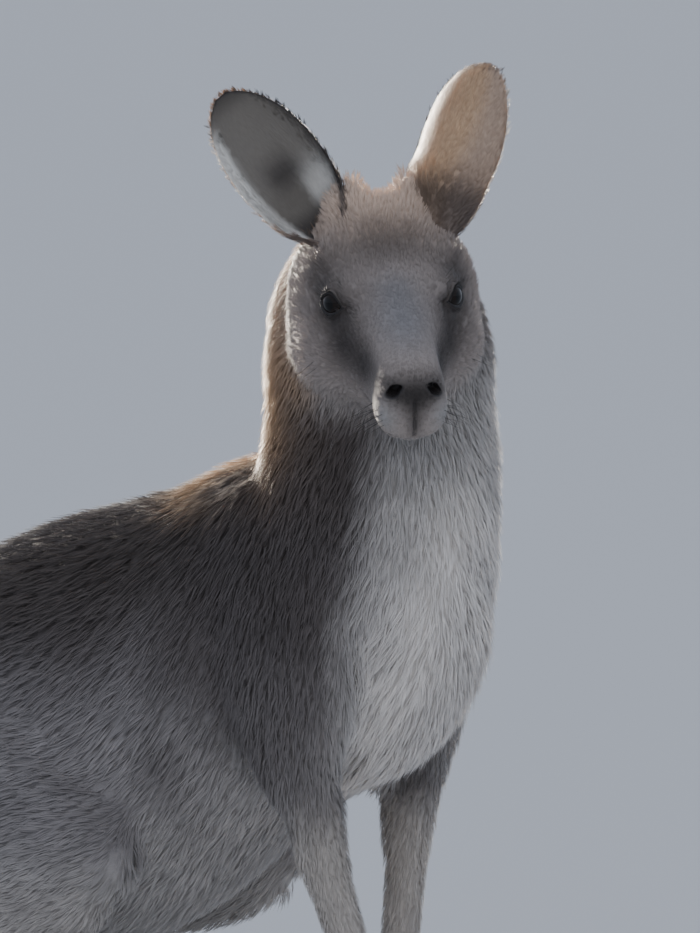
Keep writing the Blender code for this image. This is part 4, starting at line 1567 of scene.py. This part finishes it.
def coat_tree():
    """Tufts on one piece's faces, turned to the lie, sized, made real and given their address."""
    tree = bpy.data.node_groups.new("Coat", "GeometryNodeTree")
    new_socket = tree.interface.new_socket
    new_socket("Geometry", in_out="INPUT", socket_type="NodeSocketGeometry")
    for name, kind in INPUTS.items():
        new_socket(name, in_out="INPUT", socket_type=kind)
    new_socket("Geometry", in_out="OUTPUT", socket_type="NodeSocketGeometry")
    given = tree.nodes.new("NodeGroupInput").outputs
    here = add(
        tree,
        "FunctionNodeCompare",
        {"data_type": "INT", "operation": "EQUAL"},
        i2=named(tree, "coat_piece", "INT"),
        i3=given["Piece"],
    )
    spots = add(
        tree,
        "GeometryNodeDistributePointsOnFaces",
        {"distribute_method": "RANDOM"},
        Mesh=given["Geometry"],
        Selection=here.outputs[0],
        i4=named(tree, "tufts", "FLOAT"),
        Seed=given["Seed"],
    )
    shade = add(
        tree,
        "GeometryNodeStoreNamedAttribute",
        {"data_type": "FLOAT", "domain": "POINT"},
        Geometry=spots.outputs["Points"],
        Name="shade",
        Value=chance(tree, 0.0, 1.0, 3),
    )
    stand = add(
        tree,
        "FunctionNodeAxesToRotation",
        {"primary_axis": "Z", "secondary_axis": "Y"},
        Primary_Axis=spots.outputs["Normal"],
        Secondary_Axis=named(tree, "lie", "FLOAT_VECTOR"),
    )
    turn = chance(tree, maths(tree, "MULTIPLY", given["Swirl"], -1.0), given["Swirl"], 5)
    spin = add(tree, "FunctionNodeEulerToRotation", None, Euler=vector(tree, Z=turn))
    stand = add(
        tree,
        "FunctionNodeRotateRotation",
        {"rotation_space": "LOCAL"},
        Rotation=stand.outputs[0],
        Rotate_By=spin.outputs[0],
    )
    vary = vector(
        tree,
        X=chance(tree, 0.8, 1.2, 7),
        Y=chance(tree, 0.75, 1.15, 9),
        Z=chance(tree, 0.7, 1.1, 11),
    )
    forms = add(
        tree,
        "GeometryNodeCollectionInfo",
        None,
        Collection=given["Tufts"],
        Separate_Children=True,
        Reset_Children=True,
    )
    form = add(tree, "FunctionNodeRandomValue", {"data_type": "INT"}, i4=0, i5=FORMS - 1, i8=13)
    copies = add(
        tree,
        "GeometryNodeInstanceOnPoints",
        None,
        Points=shade.outputs[0],
        Instance=forms.outputs[0],
        Pick_Instance=True,
        Instance_Index=form.outputs[2],
        Rotation=stand.outputs[0],
        Scale=vector_maths(tree, "MULTIPLY", named(tree, "hair", "FLOAT_VECTOR"), i1=vary),
    )
    solid = add(tree, "GeometryNodeRealizeInstances", None, Geometry=copies.outputs[0])
    spot = add(tree, "ShaderNodeSeparateXYZ", None, Vector=add(tree, "GeometryNodeInputPosition").outputs[0])
    above = maths(tree, "MAXIMUM", spot.outputs["Z"], FLOOR_GAP * MM)
    kept = vector(tree, X=spot.outputs["X"], Y=spot.outputs["Y"], Z=above)
    solid = add(tree, "GeometryNodeSetPosition", None, Geometry=solid.outputs[0], Position=kept)
    patch = vector_maths(tree, "SCALE", named(tree, "patch", "FLOAT_VECTOR"), Scale=given["Patch"])
    flow = add(
        tree,
        "GeometryNodeStoreNamedAttribute",
        {"data_type": "FLOAT2", "domain": "CORNER"},
        Geometry=solid.outputs[0],
        Name="OFBake",
        Value=vector_maths(tree, "ADD", named(tree, "unroll", "FLOAT_VECTOR"), i1=patch),
    ).outputs[0]
    for name in SPARE:
        flow = add(tree, "GeometryNodeRemoveAttribute", None, Geometry=flow, Name=name).outputs[0]
    flow = add(tree, "GeometryNodeSetMaterial", None, Geometry=flow, Material=given["Hair"]).outputs[0]
    tree.links.new(flow, tree.nodes.new("NodeGroupOutput").inputs[0])
    return tree


COAT_TREE = coat_tree()
print("coat tree has", len(COAT_TREE.nodes), "nodes")

# %% [markdown]
# ## Hair and skin
#
# A hair is darker at its root and paler towards its tip, and no two are alike, which is what makes a
# coat look deep. The skin wears the same markings, with a fine grain pressed in along the
# lie. It shows between the hairs and on the bare parts, which are smoother and a little moist.

# %% Materials of the coat and the skin
def tint(tree, colour, low, high, factor):
    """The colour multiplied by a number that runs from low to high with the factor."""
    spread = add(tree, "ShaderNodeMapRange", None, Value=factor, To_Min=low, To_Max=high)
    return vector_maths(tree, "SCALE", colour, Scale=spread.outputs[0])


def stored(tree, name, output="Fac"):
    """An attribute of the mesh, in a material's nodes."""
    return add(tree, "ShaderNodeAttribute", {"attribute_name": name}).outputs[output]


def object_place(tree):
    return add(tree, "ShaderNodeTexCoord").outputs["Object"]


def relief(tree, shader, strength, distance, height):
    """Presses a height into the surface."""
    bump = add(tree, "ShaderNodeBump", None, Strength=strength, Distance=distance, Height=height)
    tree.links.new(bump.outputs[0], shader.inputs["Normal"])


def hair_material():
    made, tree, shader = finish(
        "hair", Roughness=0.55, Specular_IOR_Level=0.18, Sheen_Weight=0.12, Sheen_Roughness=0.35
    )
    cloud = add(tree, "ShaderNodeTexNoise", None, Vector=object_place(tree), Scale=38.0, Detail=2.0)
    colour = tint(tree, stored(tree, "marking", "Color"), 0.82, 1.12, stored(tree, "along"))
    colour = tint(tree, colour, 0.90, 1.10, stored(tree, "shade"))
    colour = tint(tree, colour, 0.80, 1.20, cloud.outputs["Fac"])
    tree.links.new(colour, shader.inputs["Base Color"])
    return made


def skin_material():
    made, tree, shader = finish("skin", Specular_IOR_Level=0.3)
    naked = stored(tree, "bare")
    flat = add(tree, "ShaderNodeUVMap", {"uv_map": "unroll"}).outputs["UV"]
    strands = add(tree, "ShaderNodeMapping", None, Vector=flat, Scale=(900.0, 160.0, 1.0))
    grain = add(tree, "ShaderNodeTexNoise", None, Vector=strands.outputs[0], Scale=1.0, Detail=3.0)
    grain = grain.outputs["Fac"]
    pores = add(tree, "ShaderNodeTexVoronoi", None, Vector=object_place(tree), Scale=900.0)
    pores = pores.outputs["Distance"]
    colour = tint(tree, stored(tree, "marking", "Color"), 0.85, 1.15, grain)
    tree.links.new(colour, shader.inputs["Base Color"])
    smooth = add(tree, "ShaderNodeMapRange", None, Value=naked, To_Min=0.75, To_Max=0.45)
    tree.links.new(smooth.outputs[0], shader.inputs["Roughness"])
    height = add(tree, "ShaderNodeMix", {"data_type": "FLOAT"}, i0=naked, i2=grain, i3=pores)
    relief(tree, shader, 0.5, 0.0006, height.outputs[0])
    return made


HAIR, SKIN = hair_material(), skin_material()
print("materials", HAIR.name, SKIN.name)

# %% Grow each piece of the coat
GROWTH = {"Tufts": tufts, "Swirl": math.radians(16), "Patch": 0.003, "Hair": HAIR}


def grow(name, piece):
    """One piece of the coat as a plain mesh."""
    bed = link(bpy.data.objects.new(name, skin.data))
    nodes = bed.modifiers.new("coat", "NODES")
    nodes.node_group = COAT_TREE
    values = {**GROWTH, "Piece": piece, "Seed": 100 + piece}
    for socket in COAT_TREE.interface.items_tree:
        if socket.in_out == "INPUT" and socket.name in values:
            nodes[socket.identifier] = values[socket.name]
    made = bpy.data.meshes.new_from_object(bed.evaluated_get(bpy.context.evaluated_depsgraph_get()))
    bed.modifiers.clear()
    bed.data = made
    made.name = name
    return bed


triangles = {}
for piece, (name, slot) in enumerate(pieces):
    grown = grow(name, piece)
    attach(grown, "root")
    triangles[name] = triangle_count(grown)
for form in list(tufts.objects):
    bpy.data.objects.remove(form)
bpy.data.collections.remove(tufts)
print("coat triangles", sum(triangles.values()), "most in one piece", max(triangles.values()))

# %% [markdown]
# ## Eyes
#
# A kangaroo's eye is nearly all iris, a brown so dark that only the window's reflection shows it is
# there. The ball fills its socket, and a clear dome swells a little over the pupil. One attribute,
# the angle from the line of sight, colours pupil, iris and rim.

# %% Eyes
DOME = 0.05  # how far the clear dome stands out, as a share of the eye's radius
DOME_ANGLE = 0.55
PUPIL, RIM = 0.34, 0.86  # angles from the line of sight, in radians
IRIS = (  # (angle, colour)
    (0.0, (0.002, 0.002, 0.002)),
    (PUPIL, (0.002, 0.002, 0.002)),
    (PUPIL + 0.06, (0.009, 0.0045, 0.0025)),
    (RIM - 0.1, (0.006, 0.003, 0.002)),
    (RIM, (0.004, 0.003, 0.002)),
    (1.0, (0.03, 0.02, 0.018)),
)


def eye_material():
    made, tree, shader = finish(
        "wet_eye",
        Roughness=0.06,
        Specular_IOR_Level=0.1,
        Coat_Weight=0.4,
        Coat_Roughness=0.02,
        Coat_IOR=1.36,
    )
    ramp = add(tree, "ShaderNodeValToRGB", None, Fac=stored(tree, "from_sight"))
    while len(ramp.color_ramp.elements) < len(IRIS):
        ramp.color_ramp.elements.new(0.5)
    for stop, (angle, colour) in zip(ramp.color_ramp.elements, IRIS):
        stop.position = angle
        stop.color = (*colour, 1.0)
    tree.links.new(ramp.outputs["Color"], shader.inputs["Base Color"])
    return made


def eye_mesh(side):
    """The eyeball, with its pole on the line of sight."""
    bm = bmesh.new()
    bmesh.ops.create_uvsphere(bm, u_segments=40, v_segments=28, radius=1.0)
    points = np.array([vert.co for vert in bm.verts])
    angle = np.arccos(np.clip(points[:, 2], -1, 1))
    turn = np.array(Vector(GAZE * FLIP[side]).to_track_quat("Z", "Y").to_matrix())
    radius = EYE_RADIUS * (1 + DOME * bell(angle, DOME_ANGLE))
    placed = in_frame(points @ turn.T * radius[:, None] + EYE_PLACE * FLIP[side])
    layer = bm.verts.layers.float.new("from_sight")
    for vert, spot, value in zip(bm.verts, placed, angle):
        vert.co = spot
        vert[layer] = min(value, 1.0)
    return bm


WET_EYE = eye_material()
for word, side in SIDES.items():
    eye = from_bmesh(f"eyeball_{word}", eye_mesh(side), [WET_EYE])
    eye.data.shade_smooth()
    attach(eye, "root")
    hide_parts(f"eye_{word}")
print("eyes of radius", EYE_RADIUS, "mm")

# %% [markdown]
# ## Lashes and whiskers
#
# Dark lashes shade the eyes, and short stiff whiskers grow from the lips, the brow and the cheek.
# Each is a thin cone swept along a curve.

# %% Lashes and whiskers
THIRDS = (0, 2.094, 4.189)  # of a turn, in radians


def bristle(bm, root, way, bend, length, radius):
    """A tapering hair of three sides, in mm, from its root to a point."""
    side = unit(np.cross(way, [0.3, 0.2, 0.9]))
    up = np.cross(way, side)
    before = None
    for t in (0.0, 0.4, 0.75):
        middle = root + way * length * t + bend * length * t**2
        thick = radius * (1 - 0.75 * t)
        ring = [bm.verts.new(middle + thick * (side * math.cos(a) + up * math.sin(a))) for a in THIRDS]
        if before is None:
            bm.faces.new(ring[::-1])
        else:
            for k in range(3):
                bm.faces.new((before[k - 1], before[k], ring[k], ring[k - 1]))
        before = ring
    tip = bm.verts.new(root + way * length + bend * length)
    for k in range(3):
        bm.faces.new((before[k - 1], before[k], tip))


def on_lid(u, v, side):
    """The lid's point at a place round the eye, the way out of it and the way back, in the head's axes."""
    way = unit(GAZE + EYE_BACK * math.tan(u / EYE_RADIUS) + EYE_UP * math.tan(v / EYE_RADIUS))
    return (EYE_PLACE + way * (EYE_RADIUS + LID)) * FLIP[side], way * FLIP[side], EYE_BACK * FLIP[side]


def on_skin(spot):
    """The skin's nearest point, in the head's axes."""
    found = skin.closest_point_on_mesh(Vector(in_frame(spot)))[1]
    return to_head(np.array(found - Vector(SHIFT)) / MM)


# (lid, opening, number, length, bend)
LASHES = ((1, UPPER_LID, 34, 6.5, 0.55), (-1, LOWER_LID, 16, 2.6, -0.25))
WHISKERS = (  # (centre for the left side in the head's axes, way, rows, number in a row, length)
    ((20.0, -76.0, -42.0), (0.80, 0.05, -0.35), 3, 5, 24),
    ((36.0, -6.0, 16.0), (0.45, -0.35, 0.80), 1, 3, 16),
    ((44.0, 0.0, -40.0), (0.85, -0.10, -0.45), 1, 2, 20),
)
LASH_RADIUS, WHISKER_RADIUS = 0.17, 0.16
WHISKER_BEND = np.array([0, 0.10, -0.12])
dice = np.random.default_rng(7)
bristles = bmesh.new()
for side in SIDES.values():
    for lid, opening, count, length, bend in LASHES:
        for share in np.linspace(-0.86, 0.92, count):
            half = opening * (1 - share**2) ** 0.75 + 0.4
            root, way, back = on_lid(share * SLIT_HALF, lid * half, side)
            lean = unit(way + back * share * 0.7 + dice.normal(0, 0.07, 3))
            long = length * dice.uniform(0.75, 1.1) * (0.55 + 0.45 * half / opening)
            bristle(bristles, root, lean, np.array([0, 0, bend]), long, LASH_RADIUS)
    for centre, way, rows, count, length in WHISKERS:
        for row, k in np.ndindex(rows, count):
            spot = np.array(centre) + [0, 5.0 * k - 2.5 * count, -4.2 * row + 1.5 * (k % 2)]
            root = on_skin(spot * FLIP[side])
            lean = unit((np.array(way) + dice.normal(0, 0.10, 3)) * FLIP[side])
            long = length * dice.uniform(0.6, 1.1)
            bristle(bristles, root - lean, lean, WHISKER_BEND, long, WHISKER_RADIUS)
for vert in bristles.verts:
    vert.co = in_frame(np.array(vert.co))
bmesh.ops.recalc_face_normals(bristles, faces=bristles.faces)
BRISTLE = finish("bristle", Base_Color=(0.02, 0.017, 0.015, 1.0), Roughness=0.45)[0]
lashes = from_bmesh("lashes_and_whiskers", bristles, [BRISTLE])
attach(lashes, "root")
print("lashes and whiskers:", len(lashes.data.polygons), "faces")

# %% [markdown]
# ## Claws
#
# Horn grows in a curve and wears to a point, so a claw is a tube that bows upwards and tapers. The
# solids in the frame are coarse copies of the same curve. Here the curve gets more stations.

# %% Claws
CLAW_TAPER = (  # (share of the length, share of the radius)
    (-0.35, 1.0),
    (0.0, 1.0),
    (0.2, 0.94),
    (0.4, 0.82),
    (0.6, 0.63),
    (0.8, 0.40),
    (0.94, 0.20),
    (1.0, 0.07),
)
FORE_CLAW = (2.6, 1.6)  # radius and bow in mm
FORE_LENGTH, FORE_TIP = 13, 2.2  # how far it reaches past the finger, and its tip's height
HIND_CLAWS = (  # (root, tip, radius, bow) on the left side: the long toe, the outer toe, the inner two
    ((105, 200, 12), (106, 166, 3.6), 5.2, 2.0),
    ((121.5, 233, 10), (123, 212, 3.0), 3.6, 1.4),
    ((80.5, 243, 9.5), (79, 227, 3.0), 2.0, 1.0),
    ((85, 243, 9.5), (84.6, 227, 3.0), 2.0, 1.0),
)


def claw_mesh(root, tip, radius, bow):
    rows = []
    for t, share in CLAW_TAPER:
        rise = bow * 4 * t * (1 - t) if t > 0 else 0
        rows.append((*(root + (tip - root) * t + [0, 0, rise]), radius * share * 0.92, radius * share * 1.05))
    return Tube(rows, rings=20, power=1.85).mesh(16)


def fore_claws(side):
    claws = []
    for root, tip in fingers(side):
        way = unit(tip - root)
        end = tip + [way[0] * FORE_LENGTH, way[1] * FORE_LENGTH, FORE_TIP - tip[2]]
        claws.append(claw_mesh(tip - way * 1.5, end, *FORE_CLAW))
    return claws


def hind_claws(side):
    claws = []
    for root, tip, radius, bow in HIND_CLAWS:
        claws.append(claw_mesh(np.array(root) * FLIP[side], np.array(tip) * FLIP[side], radius, bow))
    return claws


def horn_material():
    made, tree, shader = finish("horn", Roughness=0.34)
    grain = add(tree, "ShaderNodeTexNoise", None, Vector=object_place(tree), Scale=260.0, Detail=3.0)
    grain = grain.outputs["Fac"]
    dark, pale = (0.012, 0.010, 0.009, 1), (0.060, 0.050, 0.042, 1)
    colour = add(tree, "ShaderNodeMix", {"data_type": "RGBA"}, Factor=grain, i6=dark, i7=pale)
    tree.links.new(colour.outputs[2], shader.inputs["Base Color"])
    relief(tree, shader, 0.25, 0.0003, grain)
    return made


HORN = horn_material()
claw_nodes = [name for name in frame["nodes"] if "claw" in name]
for kind, claws_of in (("fore", fore_claws), ("hind", hind_claws)):
    forms = [form for side in SIDES.values() for form in claws_of(side)]
    claws = from_bmesh(f"{kind}_claws", together(forms), [HORN])
    into_frame(claws)
    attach(claws, "root")
    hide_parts(*[name for name in claw_nodes if name.startswith(kind)])
    print(claws.name, len(claws.data.polygons), "faces")

# %% [markdown]
# ## Last steps
#
# The skin stands for every solid of flesh. Last, the outline of the finished animal is printed beside
# that of the solids, which reach out to the tips of the coat.

# %% Dress the skin and close
skin.data.materials.clear()
skin.data.materials.append(SKIN)
for name in ("lie", "hair", "tufts", "coat_piece"):
    skin.data.attributes.remove(skin.data.attributes[name])
flesh = [name for name in frame["nodes"] if "claw" not in name and "eye" not in name]
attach(skin, "root")
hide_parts(*flesh)
print("skin stands for", len(flesh), "solids")

# %% Sizes and finish
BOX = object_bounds()
for word, box in (("solids", CAD_BOX), ("finished", BOX)):
    print(word, [[round(value, 3) for value in corner] for corner in box])
